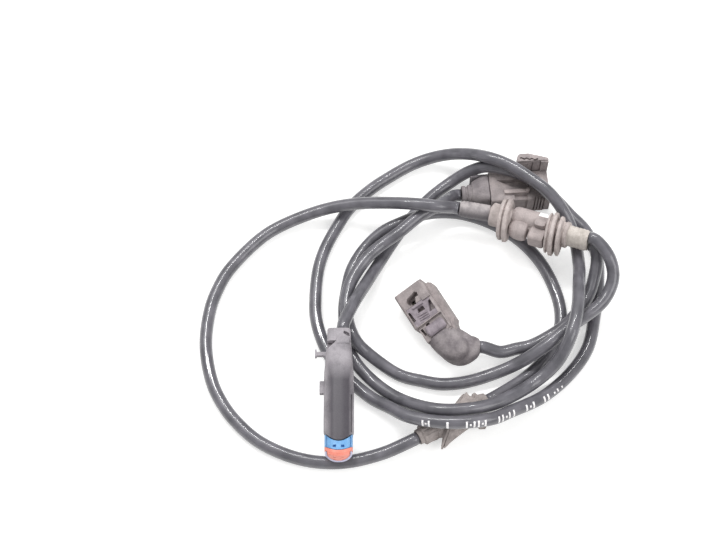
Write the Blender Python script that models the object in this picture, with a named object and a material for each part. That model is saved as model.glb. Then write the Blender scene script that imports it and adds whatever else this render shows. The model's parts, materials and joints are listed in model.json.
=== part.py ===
"""Brake pad wear sensor lead: a sealed plug, two sockets, a splitter and a grommet on one round cable.

Metres, +Z up. The lead lies in loose loops on a floor at z = 0, as it was put down.
"""
import math

import bmesh
import bpy
from mathutils import Matrix, Vector

MM = 0.001
FIT = 0.3 * MM              # clearance between two pieces that seat on each other

# Cable
CABLE_DIAMETER = 5.2 * MM
CABLE_STEP = 2.35           # diameters between two points of a cable's tube
CABLE_LEAD = 0.45           # diameters a cable runs straight out of a piece
CABLE_RINGS = 3             # bevel resolution of a cable's tube

# Sealed plug, measured from the rear face of its collar
PLUG_WIDTH = 11.8 * MM
PLUG_HEIGHT = 12.0 * MM
PLUG_CORNER = 5.0 * MM
COLLAR_LENGTH = 5.4 * MM
COLLAR_WIDTH = 9.2 * MM
COLLAR_HEIGHT = 9.6 * MM
COLLAR_CORNER = 1.6 * MM
COLLAR_STEM_WIDTH = 6.4 * MM
COLLAR_STEM_LENGTH = 4.5 * MM
SHOULDER_LENGTH = 14.0 * MM
SHOULDER_WIDTH = 8.8 * MM
HOUSING_REACH = 46.5 * MM   # centre of the housing's bowed front edge
HOUSING_BOW = 4.6 * MM      # how far that edge falls back at the sides
LOCK_LENGTH = 3.4 * MM      # each band's length on the plug's axis
LOCK_BOW = 2.6 * MM
LOCK_INSET = 0.4 * MM
SEAL_LENGTH = 1.6 * MM
SEAL_BOW = 2.4 * MM
SEAL_INSET = 0.1 * MM
NOSE_LENGTH = 1.0 * MM
NOSE_BOW = 2.4 * MM
NOSE_INSET = 0.5 * MM
NOSE_ROUNDING = 1.0 * MM
NOSE_LIP = 2.8 * MM         # height of the nose's lip below the seal's face
NOSE_SIDE = 0.7 * MM        # and its thickness at the sides
CORE_WIDTH = 7.4 * MM
CORE_HEIGHT = 6.0 * MM
CORE_DEPTH = 12.0 * MM      # how far the lock's core reaches back into the housing
CORE_SEAL_DEPTH = 0.6 * MM  # how far the core enters the seal
PIN_SIZE = 1.3 * MM
PIN_BORE = 1.9 * MM
PIN_PITCH = 3.2 * MM
PIN_LENGTH = 9.0 * MM
HOOK_AT = 8.4 * MM
HOOK_WIDTH = 1.4 * MM
HOOK_REACH = 9.6 * MM       # from the plug's axis
HOOK_HEAD = 2.0 * MM
HOOK_THICKNESS = 2.2 * MM
RIB_AT = 20.6 * MM
RIB_LENGTH = 4.4 * MM
RIB_PROUD = 1.7 * MM
RIB_THICKNESS = 2.6 * MM

# Two-pole wheel socket, right-angled, measured from the middle of its boot
WHEEL_WIDTH = 13.4 * MM
WHEEL_HEIGHT = 12.0 * MM
WHEEL_CORNER = 1.2 * MM
WHEEL_LENGTH = 19.3 * MM
WHEEL_REACH = 30.2 * MM
WHEEL_POCKET_LENGTH = 10.4 * MM
WHEEL_POCKET_WIDTH = 8.4 * MM
WHEEL_POCKET_DEPTH = 2.6 * MM
WHEEL_POCKET_MARGIN = 4.4 * MM
LATCH_THICKNESS = 1.3 * MM
LATCH_WIDTH = 5.6 * MM
LATCH_WINDOW = 2.6 * MM
SLIDE_LENGTH = 3.4 * MM
SLIDE_WIDTH = 7.0 * MM
SLIDE_DEPTH = 1.2 * MM
SLIDE_PROUD = 0.7 * MM
WHEEL_BOOT_RADIUS = 7.4 * MM
WHEEL_BOOT_HEIGHT = 12.4 * MM
WHEEL_BOOT_NECK = 11.4 * MM
WHEEL_EXIT_RADIUS = 6.0 * MM
WHEEL_RAIL_PROUD = 2.4 * MM  # keying rail along one side
WHEEL_RAIL_HEIGHT = 6.5 * MM
WHEEL_EXIT_REACH = 8.6 * MM

# Pad wear socket, measured from the rear end of its boot
WEAR_WIDTH = 14.5 * MM
WEAR_HEIGHT = 10.4 * MM
WEAR_CORNER = 1.0 * MM
WEAR_LENGTH = 24.4 * MM
WEAR_BOOT_LENGTH = 11.6 * MM
WEAR_BOOT_RADIUS = 3.9 * MM
GLAND_AT = 1.5 * MM
GLAND_GROOVE = 0.5 * MM
CHANNEL_START = 2.6 * MM    # from the housing's rear face
CHANNEL_LENGTH = 14.6 * MM
CHANNEL_WIDTH = 5.4 * MM
CHANNEL_SIDE = 0.3 * MM     # the channel's middle, to the left of the housing's
CHANNEL_DEPTH = 3.6 * MM
RAIL_LENGTH = 11.8 * MM
RAIL_WIDTH = 1.7 * MM
RAIL_HEIGHT = 1.3 * MM
RAIL_HOOK = 2.2 * MM
PANEL_AT = 9.8 * MM
PANEL_LENGTH = 5.4 * MM
PANEL_HEIGHT = 6.2 * MM
PANEL_DEPTH = 0.7 * MM
GRIP_AT = 18.6 * MM
GRIP_PITCH = 1.5 * MM
GRIP_WIDTH = 0.7 * MM
GRIP_COUNT = 3
BRACKET_LENGTH = 12.4 * MM
BRACKET_THICKNESS = 3.8 * MM
BRACKET_HEIGHT = 17.6 * MM
BRACKET_THIN = 0.9 * MM
BRACKET_SLOT_LENGTH = 4.6 * MM
BRACKET_SLOT_WIDTH = 1.3 * MM
BRACKET_SLOT_DEPTH = 5.0 * MM
BRACKET_GROOVE = 0.8 * MM
SHIELD_THICKNESS = 0.8 * MM
SHIELD_HEIGHT = 8.2 * MM
SHIELD_START = 4.4 * MM
SHIELD_INSET = 0.7 * MM
SOCKET_SLOT_WIDTH = 2.4 * MM
SOCKET_SLOT_HEIGHT = 3.0 * MM
SOCKET_SLOT_DEPTH = 7.0 * MM
SOCKET_PITCH = 4.6 * MM
CONTACT_WIDTH = 1.4 * MM
CONTACT_HEIGHT = 0.8 * MM
CONTACT_SETBACK = 1.0 * MM

# Splitter, measured from its left end
SPLITTER_COLLAR_RADIUS = 5.0 * MM
SPLITTER_COLLAR_LENGTH = 4.6 * MM
DISC_RADIUS = 8.7 * MM
DISC_THICKNESS = 1.8 * MM
DISC_GROOVE = 0.9 * MM
DISC_GROOVE_RADIUS = 7.2 * MM
SPLITTER_BODY_LENGTH = 13.0 * MM
BODY_TUBE_RADIUS = 3.7 * MM
BODY_LOBE_RADIUS = 4.2 * MM
BODY_SPREAD = 3.8 * MM      # each lobe's middle, to the side of the axis
BODY_BLOCK_LENGTH = 4.4 * MM
BODY_WAIST_LENGTH = 1.2 * MM
REAR_DISC_RADIUS = 8.8 * MM
LAST_DISC_RADIUS = 7.5 * MM
LAST_DISC_THICKNESS = 2.0 * MM
DISC_SPACING = 1.4 * MM
SLEEVE_HALF_WIDTH = 3.8 * MM
SLEEVE_HALF_HEIGHT = 5.5 * MM
SLEEVE_LENGTH = 8.6 * MM
CUFF_PROUD = 0.6 * MM
CUFF_LENGTH = 2.6 * MM
SPLITTER_NECK = 4.2 * MM
ENTRY_SLEEVE_RADIUS = 3.5 * MM
ENTRY_SLEEVE_TIP = 2.9 * MM

# Oblique bulkhead grommet, measured from its left end
GROMMET_LENGTH = 31.8 * MM
GROMMET_NECK = 4.0 * MM
GROMMET_COLLAR = 4.8 * MM
GROMMET_COLLAR_LENGTH = 7.4 * MM
GROMMET_FLANGE = 8.4 * MM
GROMMET_FLANGE_AT = 16.4 * MM
GROMMET_RIM = 2.2 * MM
GROMMET_LIP = 5.9 * MM
GROMMET_LIP_AT = 28.0 * MM
GROMMET_HALF_HEIGHT = 5.1 * MM
GROMMET_SLANT = 1.15        # tangent of the flange's slant in the floor's plane
GROMMET_TEETH = 12

# Where each group lies on the floor, in millimetres
PLUG_REAR = (-46.9, -15.5, 16.2)
PLUG_TIP = (-46.8, -67.4, 11.7)
WHEEL_MIDDLE = (-2.4, -19.4)
WHEEL_HEADING = 119.4       # degrees from +X, towards the mating face
WHEEL_ROLL = -25.0
WEAR_REAR = (5.1, 54.9)
WEAR_HEADING = 4.0
SPLITTER_LEFT = (16.0, 40.4, 14.4)
SPLITTER_RIGHT = (55.2, 24, 20.1)
ENTRY_SLEEVE_TIP_AT = (3.4, 42.8, 14.5)
GROMMET_LEFT = (-15.7, -56.3)
GROMMET_RIGHT = (12.1, -40.9)

# Middle of each cable, in millimetres, from one piece to the next
PLUG_TO_GROMMET = [
    (-42.1, -3.4, 13.8), (-35.6, 11.6, 7.4), (-30.6, 22.6, 3.2), (-25.6, 31.6, 2.7), (-18.1, 43.1, 2.7),
    (-8.1, 55.1, 2.7), (0.4, 62.1, 3.4), (8.9, 65.1, 8.4), (16.9, 64.1, 13.6), (31.9, 59.1, 13.7),
    (42.9, 49.1, 13.5), (50.4, 43.1, 8.9), (57.4, 37.1, 4.9), (61.4, 26.6, 2.8), (60.9, 12.6, 2.7),
    (58.4, -1.4, 2.7), (54.4, -16.4, 2.7), (46.4, -27.9, 2.8), (34.9, -38.4, 4.2), (20.9, -46.9, 9),
    (12.4, -51.9, 13.4), (-3.6, -53.9, 14.9), (-19.1, -49.9, 10.8), (-26.6, -44.4, 6.9), (-34.6, -38.4, 3.6),
    (-46.6, -26.4, 2.7), (-52.6, -16.4, 2.7), (-56.6, -3.4, 2.7), (-57.1, 5.6, 2.7), (-56.1, 19.6, 2.7),
    (-53.6, 29.1, 2.7), (-49.1, 39.1, 2.7), (-43.1, 49.6, 2.7), (-34.1, 59.1, 2.7), (-25.6, 65.6, 2.7),
    (-16.6, 71.1, 3.2), (-8.1, 73.6, 5.2), (0.4, 73.1, 9.2), (8.9, 70.1, 14), (16.9, 65.1, 18.9),
    (24.9, 61.1, 19.3), (32.9, 55.1, 19.3), (40.9, 47.6, 19.1), (46.4, 40.6, 16.4), (50.9, 32.6, 10.8),
    (51.9, 16.6, 12.6), (50.9, 8.1, 15.8), (48.9, -6.4, 19.3), (45.4, -18.4, 18.8), (40.4, -26.4, 11.6),
    (31.4, -33.4, 6.8), (16.9, -43.4, 11), (8.4, -46.9, 13.1), (-7.1, -47.9, 13.1), (-22.6, -40.4, 6),
    (-33.6, -30.9, 2.7), (-41.1, -21.4, 2.7), (-44.1, -10.4, 2.7), (-45.1, 1.1, 2.7), (-44.1, 10.1, 2.7),
    (-42.1, 19.6, 2.7), (-37.1, 29.1, 2.9), (-29.1, 36.1, 6.1), (-20.6, 39.6, 8.5), (-11.1, 44.1, 7.4),
    (1.9, 46.6, 4.2), (14.9, 43.6, 2.7), (27.4, 35.6, 2.7), (36.4, 25.1, 2.7), (41.9, 13.1, 2.7),
    (44.4, 1.1, 2.7), (43.4, -8.4, 2.7), (37.4, -20.4, 2.7), (27.9, -29.9, 2.7),
]
GROMMET_TO_SPLITTER = [
    (-30.6, -62.4, 2.7), (-46.6, -65.9, 2.7), (-62.1, -64.4, 2.7), (-78.1, -57.4, 2.7), (-88.6, -47.9, 2.7),
    (-94.6, -39.4, 2.7), (-98.6, -30.4, 2.7), (-101.6, -14.9, 2.7), (-100.6, 1.1, 2.7), (-98.1, 10.1, 2.7),
    (-93.6, 19.6, 2.7), (-81.1, 34.6, 2.7), (-72.6, 40.6, 3.2), (-55.6, 46.1, 7), (-42.6, 47.1, 10.6),
    (-30.1, 45.6, 14.4), (-15.6, 42.6, 18.6), (-5.1, 41.6, 18.2),
]
SPLITTER_TO_WEAR = [
    (62.9, 16.1, 21.5), (64.9, 9.1, 16.4), (61.4, 1.1, 12.8), (53.9, -5.9, 12.4), (45.4, -12.4, 13.9),
    (37.9, -18.4, 12.6), (29.9, -22.9, 8.8), (21.9, -25.9, 4.6), (9.9, -29.9, 2.7), (1.9, -31.9, 2.7),
    (-6.1, -32.4, 2.7), (-14.1, -30.9, 2.7), (-22.6, -28.4, 2.7), (-34.6, -20.4, 4.9), (-40.1, -15.9, 8),
    (-43.6, -6.4, 8.1), (-44.1, 3.6, 8.1), (-42.1, 11.6, 8), (-35.6, 22.1, 9), (-30.1, 27.6, 9.2),
    (-21.6, 33.1, 12), (-13.6, 39.6, 13.6), (-3.6, 47.1, 11.4),
]
SPLITTER_TO_WHEEL = [
    (59.4, 18.6, 13.4), (57.4, 9.6, 9.4), (55.4, 4.6, 8.2), (51.9, -0.9, 7.8), (47.9, -5.9, 8.2),
    (43.9, -9.9, 8.5), (35.9, -14.9, 7.6), (30.4, -16.9, 5.8), (24.9, -17.9, 5.3), (18.4, -19.4, 5.4),
]


def clear_scene():
    for old in list(bpy.data.objects):
        bpy.data.objects.remove(old, do_unlink=True)


def material(name, colour, roughness, metallic=0.0):
    made = bpy.data.materials.new(name)
    made.use_nodes = True
    shader = made.node_tree.nodes["Principled BSDF"]
    shader.inputs["Base Color"].default_value = (*colour, 1.0)
    shader.inputs["Roughness"].default_value = roughness
    shader.inputs["Metallic"].default_value = metallic
    return made


def frame_at(name, at_mm, heading, pitch=0.0, roll=0.0):
    """An empty at a point in millimetres, its +X along heading and pitch, turned by roll about it."""
    empty = bpy.data.objects.new(name, None)
    bpy.context.collection.objects.link(empty)
    turn = (Matrix.Rotation(heading, 4, "Z") @ Matrix.Rotation(-pitch, 4, "Y")
            @ Matrix.Rotation(roll, 4, "X"))
    empty.matrix_world = Matrix.Translation(Vector(at_mm) * MM) @ turn
    return empty


def frame_between(name, start_mm, end_mm):
    """An empty at start whose +X points at end, with +Z as near upright as it can be."""
    along = Vector(end_mm) - Vector(start_mm)
    heading = math.atan2(along.y, along.x)
    pitch = math.atan2(along.z, math.hypot(along.x, along.y))
    return frame_at(name, start_mm, heading, pitch)


def finish(name, body, parent, look):
    """Turn a bmesh into one named object with smooth round faces and its own material."""
    bmesh.ops.recalc_face_normals(body, faces=body.faces)
    mesh = bpy.data.meshes.new(name)
    body.to_mesh(mesh)
    body.free()
    mesh.shade_smooth()
    mesh.set_sharp_from_angle(angle=math.radians(35))
    made = bpy.data.objects.new(name, mesh)
    bpy.context.collection.objects.link(made)
    made.parent = parent
    mesh.materials.append(look)
    return made


def rounded(width, height, corner, steps=4):
    """A rounded rectangle in the YZ plane, as (y, z) points."""
    points = []
    for turn, (side, top) in enumerate(((1, 1), (-1, 1), (-1, -1), (1, -1))):
        middle = (side * (width / 2 - corner), top * (height / 2 - corner))
        for step in range(steps + 1):
            angle = math.radians(90 * turn + 90 * step / steps)
            points.append((middle[0] + corner * math.cos(angle), middle[1] + corner * math.sin(angle)))
    return points


def oval(half_width, half_height, steps=32):
    turns = [2 * math.pi * step / steps for step in range(steps)]
    return [(half_width * math.cos(turn), half_height * math.sin(turn)) for turn in turns]


def loft(name, stations, parent, look):
    """Skin a row of YZ outlines, each with its own x, and close both ends."""
    body = bmesh.new()
    rings = [[body.verts.new((x, y, z)) for y, z in outline] for x, outline in stations]
    for near, far in zip(rings, rings[1:]):
        for index in range(len(near)):
            after = (index + 1) % len(near)
            body.faces.new((near[index], near[after], far[after], far[index]))
    body.faces.new(rings[0])
    body.faces.new(rings[-1])
    return finish(name, body, parent, look)


def prism(name, outline, low, high, parent, look):
    """Raise a plan outline of (x, y) points from low to high."""
    body = bmesh.new()
    floor = [body.verts.new((x, y, low)) for x, y in outline]
    top = [body.verts.new((x, y, high)) for x, y in outline]
    for index in range(len(outline)):
        after = (index + 1) % len(outline)
        body.faces.new((floor[index], floor[after], top[after], top[index]))
    body.faces.new(floor)
    body.faces.new(top)
    return finish(name, body, parent, look)


def block(name, low, high, parent, look):
    outline = [(low[0], low[1]), (high[0], low[1]), (high[0], high[1]), (low[0], high[1])]
    return prism(name, outline, low[2], high[2], parent, look)


def turned(name, profile, parent, look, steps=32):
    """Turn (x, radius) points about the X axis."""
    return loft(name, [(x, oval(radius, radius, steps)) for x, radius in profile], parent, look)


def combine(target, tool, operation):
    """Join, cut or cross target with tool, which then stays as a hidden guide."""
    change = target.modifiers.new(tool.name, "BOOLEAN")
    change.operation = operation
    change.object = tool
    change.solver = "EXACT"
    tool.hide_render = True
    tool.display_type = "WIRE"


def soften(target, width, segments=2):
    bevel = target.modifiers.new("edges", "BEVEL")
    bevel.width = width
    bevel.segments = segments
    bevel.limit_method = "ANGLE"
    bevel.angle_limit = math.radians(40)


def bow(reach, fall, half_width, gap=0.0, power=2.2, steps=16):
    """A front edge seen from above, its sides fallen back, moved forward by a gap square to itself."""
    points = []
    for step in range(steps + 1):
        side = 1.15 * (-1 + 2 * step / steps)
        slope = fall * power * abs(side) ** (power - 1) * (1 if side > 0 else -1) / half_width
        length = math.hypot(1.0, slope)
        points.append((reach - fall * abs(side) ** power + gap / length, side * half_width + gap * slope / length))
    return points


def band(rear_edge, front_edge):
    """The plan outline between two front edges."""
    return rear_edge + front_edge[::-1]


def smooth_route(points, spacing):
    """A centripetal Catmull-Rom curve through points, read at its two ends and evenly between its leads."""
    points = [points[0] * 2 - points[1]] + points + [points[-1] * 2 - points[-2]]
    fine = []
    for p0, p1, p2, p3 in zip(points, points[1:], points[2:], points[3:]):
        t1 = math.sqrt((p1 - p0).length)
        t2 = t1 + math.sqrt((p2 - p1).length)
        t3 = t2 + math.sqrt((p3 - p2).length)
        for step in range(24):
            t = t1 + (t2 - t1) * step / 24
            a1 = p0.lerp(p1, t / t1)
            a2 = p1.lerp(p2, (t - t1) / (t2 - t1))
            a3 = p2.lerp(p3, (t - t2) / (t3 - t2))
            b1 = a1.lerp(a2, t / t2)
            b2 = a2.lerp(a3, (t - t1) / (t3 - t1))
            fine.append(b1.lerp(b2, (t - t1) / (t2 - t1)))
    start, fine, end = fine[0], fine[24:-23], points[-2]
    lengths = [0.0]
    for before, after in zip(fine, fine[1:]):
        lengths.append(lengths[-1] + (after - before).length)
    count = round(lengths[-1] / spacing)
    even = [start]
    place = 0
    for step in range(count + 1):
        wanted = lengths[-1] * step / count
        while place < len(fine) - 2 and lengths[place + 1] < wanted:
            place += 1
        share = (wanted - lengths[place]) / (lengths[place + 1] - lengths[place])
        even.append(fine[place].lerp(fine[place + 1], share))
    return even + [end]


def port(frame, x, y=0.0, z=0.0, way=-1):
    """Where a cable leaves a piece, and the way it points there."""
    turn = frame.matrix_world.to_3x3()
    out = turn @ Vector((way, 0.0, 0.0))
    return frame.matrix_world @ Vector((x, y, z)) + FIT * out, out


def cable(name, start, points_mm, end, look):
    lead = CABLE_LEAD * CABLE_DIAMETER
    middle = [Vector(point) * MM for point in points_mm]
    route = smooth_route([start[0], start[0] + lead * start[1], *middle, end[0] + lead * end[1], end[0]],
                         CABLE_STEP * CABLE_DIAMETER)
    data = bpy.data.curves.new(name, "CURVE")
    data.dimensions = "3D"
    data.bevel_depth = CABLE_DIAMETER / 2
    data.bevel_resolution = CABLE_RINGS
    data.use_fill_caps = True
    spline = data.splines.new("POLY")
    spline.points.add(len(route) - 1)
    for point, place in zip(spline.points, route):
        point.co = (*place, 1.0)
    data.materials.append(look)
    made = bpy.data.objects.new(name, data)
    bpy.context.collection.objects.link(made)
    return made


def make_plug(looks):
    """Four-pole sealed plug: collar, housing, lock with its core, seal, nose and four pins."""
    plug = frame_between("plug_frame", PLUG_REAR, PLUG_TIP)
    half = PLUG_WIDTH / 2
    lock_reach = HOUSING_REACH + LOCK_LENGTH
    seal_reach = lock_reach + SEAL_LENGTH
    plug_length = seal_reach + NOSE_LENGTH
    shoulder_start = COLLAR_LENGTH + FIT
    shoulder_end = shoulder_start + SHOULDER_LENGTH
    wide = 2 * plug_length

    collar = loft("plug_collar", [
        (0, rounded(COLLAR_WIDTH, COLLAR_HEIGHT, COLLAR_CORNER)),
        (COLLAR_LENGTH, rounded(COLLAR_WIDTH, COLLAR_HEIGHT, COLLAR_CORNER)),
    ], plug, looks["housing"])
    stem_end = COLLAR_LENGTH + COLLAR_STEM_LENGTH
    stem = turned("collar_stem", [(COLLAR_LENGTH / 2, COLLAR_STEM_WIDTH / 2), (stem_end, COLLAR_STEM_WIDTH / 2)],
                  plug, looks["housing"], 24)
    combine(collar, stem, "UNION")

    def section(inset, nose=0.0):
        corner = max(PLUG_CORNER - inset - nose / 2, MM)
        return rounded(PLUG_WIDTH - 2 * inset - nose, PLUG_HEIGHT - 2 * inset - 2 * nose, corner, 6)

    housing = loft("plug_housing", [
        (shoulder_start, rounded(SHOULDER_WIDTH, COLLAR_HEIGHT, COLLAR_CORNER, 6)),
        (shoulder_start + 0.3 * SHOULDER_LENGTH, rounded(SHOULDER_WIDTH + MM, COLLAR_HEIGHT + MM, 2.6 * MM, 6)),
        (shoulder_start + 0.75 * SHOULDER_LENGTH, rounded(PLUG_WIDTH - MM, PLUG_HEIGHT - 0.4 * MM, 4.2 * MM, 6)),
        (shoulder_end, section(0)),
        (plug_length, section(0)),
    ], plug, looks["housing"])
    hook_root = SHOULDER_WIDTH / 2 - MM
    hook = prism("plug_hook", [
        (HOOK_AT, -hook_root), (HOOK_AT, -HOOK_REACH + HOOK_WIDTH / 2),
        (HOOK_AT - HOOK_HEAD / 2, -HOOK_REACH + HOOK_WIDTH / 2), (HOOK_AT - HOOK_HEAD / 2, -HOOK_REACH),
        (HOOK_AT + HOOK_HEAD, -HOOK_REACH), (HOOK_AT + HOOK_HEAD, -HOOK_REACH + HOOK_WIDTH / 2),
        (HOOK_AT + HOOK_WIDTH, -HOOK_REACH + HOOK_WIDTH / 2), (HOOK_AT + HOOK_WIDTH, -hook_root),
    ], -HOOK_THICKNESS / 2, HOOK_THICKNESS / 2, plug, looks["housing"])
    rib = block("plug_rib", (RIB_AT, -half - RIB_PROUD, -RIB_THICKNESS / 2),
                (RIB_AT + RIB_LENGTH, -half + MM, RIB_THICKNESS / 2), plug, looks["housing"])
    for extra in (hook, rib):
        combine(housing, extra, "UNION")
    ahead = [(wide, -2 * half), (wide, 2 * half)]
    trim = prism("plug_front_trim", band(bow(HOUSING_REACH, HOUSING_BOW, half), ahead),
                 -PLUG_HEIGHT, PLUG_HEIGHT, plug, looks["housing"])
    combine(housing, trim, "DIFFERENCE")
    core_rear = HOUSING_REACH - HOUSING_BOW - CORE_DEPTH
    bay = block("plug_bay", (core_rear - FIT, -CORE_WIDTH / 2 - FIT, -CORE_HEIGHT / 2 - FIT),
                (wide, CORE_WIDTH / 2 + FIT, CORE_HEIGHT / 2 + FIT), plug, looks["housing"])
    hole_radius = COLLAR_STEM_WIDTH / 2 + FIT
    stem_hole = turned("plug_stem_hole", [(0, hole_radius), (stem_end + FIT, hole_radius)], plug, looks["housing"], 24)
    for cutter in (bay, stem_hole):
        combine(housing, cutter, "DIFFERENCE")

    def front_piece(name, inset, rear_edge, front_edge, look):
        bar = loft(name, [
            (HOUSING_REACH - 3 * HOUSING_BOW, section(inset)),
            (seal_reach - SEAL_BOW, section(inset)),
            (seal_reach, section(inset, NOSE_ROUNDING / 3)),
            (plug_length, section(inset, NOSE_ROUNDING)),
        ], plug, look)
        outline = prism(name + "_outline", band(rear_edge, front_edge), -PLUG_HEIGHT, PLUG_HEIGHT, plug, look)
        combine(bar, outline, "INTERSECT")
        return bar

    lock = front_piece("plug_lock", LOCK_INSET, bow(HOUSING_REACH, HOUSING_BOW, half, FIT),
                       bow(lock_reach, LOCK_BOW, half), looks["lock"])
    core_front = lock_reach + CORE_SEAL_DEPTH
    core = block("lock_core", (core_rear, -CORE_WIDTH / 2, -CORE_HEIGHT / 2),
                 (core_front, CORE_WIDTH / 2, CORE_HEIGHT / 2), plug, looks["lock"])
    combine(lock, core, "UNION")
    seal = front_piece("plug_seal", SEAL_INSET, bow(lock_reach, LOCK_BOW, half, FIT),
                       bow(seal_reach, SEAL_BOW, half), looks["seal"])
    nose = front_piece("plug_nose", NOSE_INSET, bow(seal_reach, SEAL_BOW, half, FIT),
                       bow(plug_length, NOSE_BOW, half), looks["nose"])
    boss = front_piece("seal_boss", NOSE_INSET, bow(seal_reach - NOSE_LENGTH, SEAL_BOW, half),
                       bow(plug_length, NOSE_BOW, half), looks["seal"])

    def opening(name, shrink):
        inner = PLUG_WIDTH - 2 * (NOSE_INSET + NOSE_SIDE + shrink)
        inside = rounded(inner, PLUG_HEIGHT, PLUG_CORNER - NOSE_SIDE - shrink, 6)
        outline = [(y, z + NOSE_LIP + shrink) for y, z in inside]
        return loft(name, [(core_rear, outline), (wide, outline)], plug, looks["seal"])

    combine(nose, opening("nose_opening", 0.0), "DIFFERENCE")
    combine(boss, opening("seal_opening", FIT), "INTERSECT")
    combine(seal, boss, "UNION")
    core_hole = block("core_hole", (core_rear, -CORE_WIDTH / 2 - FIT, -CORE_HEIGHT / 2 - FIT),
                      (core_front + FIT, CORE_WIDTH / 2 + FIT, CORE_HEIGHT / 2 + FIT), plug, looks["seal"])
    combine(seal, core_hole, "DIFFERENCE")
    for index in range(4):
        side = PIN_PITCH / 2 * (1 if index % 2 else -1)
        level = PIN_PITCH / 2 * (1 if index < 2 else -1)
        bore_rear = core_front - PIN_LENGTH - MM
        bore = block(f"pin_bore_{index + 1}", (bore_rear, side - PIN_BORE / 2, level - PIN_BORE / 2),
                     (wide, side + PIN_BORE / 2, level + PIN_BORE / 2), plug, looks["lock"])
        for pierced in (lock, seal):
            combine(pierced, bore, "DIFFERENCE")
        pin = block(f"plug_contact_{index + 1}", (bore_rear + FIT, side - PIN_SIZE / 2, level - PIN_SIZE / 2),
                    (bore_rear + PIN_LENGTH, side + PIN_SIZE / 2, level + PIN_SIZE / 2), plug, looks["contact"])
        soften(pin, PIN_SIZE / 8, 1)
    return port(plug, 0, (COLLAR_WIDTH - CABLE_DIAMETER) / 2 - FIT)


def add_contacts(prefix, housing, face, parent, look):
    """Two flat contacts, each in its own slot behind a socket's mating face."""
    for index, side in enumerate((-SOCKET_PITCH / 2, SOCKET_PITCH / 2)):
        rear = face - SOCKET_SLOT_DEPTH
        slot = block(f"{prefix}_slot_{index + 1}",
                     (rear, side - SOCKET_SLOT_WIDTH / 2, -SOCKET_SLOT_HEIGHT / 2),
                     (face + MM, side + SOCKET_SLOT_WIDTH / 2, SOCKET_SLOT_HEIGHT / 2), parent, look)
        combine(housing, slot, "DIFFERENCE")
        block(f"{prefix}_contact_{index + 1}", (rear + FIT, side - CONTACT_WIDTH / 2, -CONTACT_HEIGHT / 2),
              (face - CONTACT_SETBACK, side + CONTACT_WIDTH / 2, CONTACT_HEIGHT / 2), parent, look)


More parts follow.
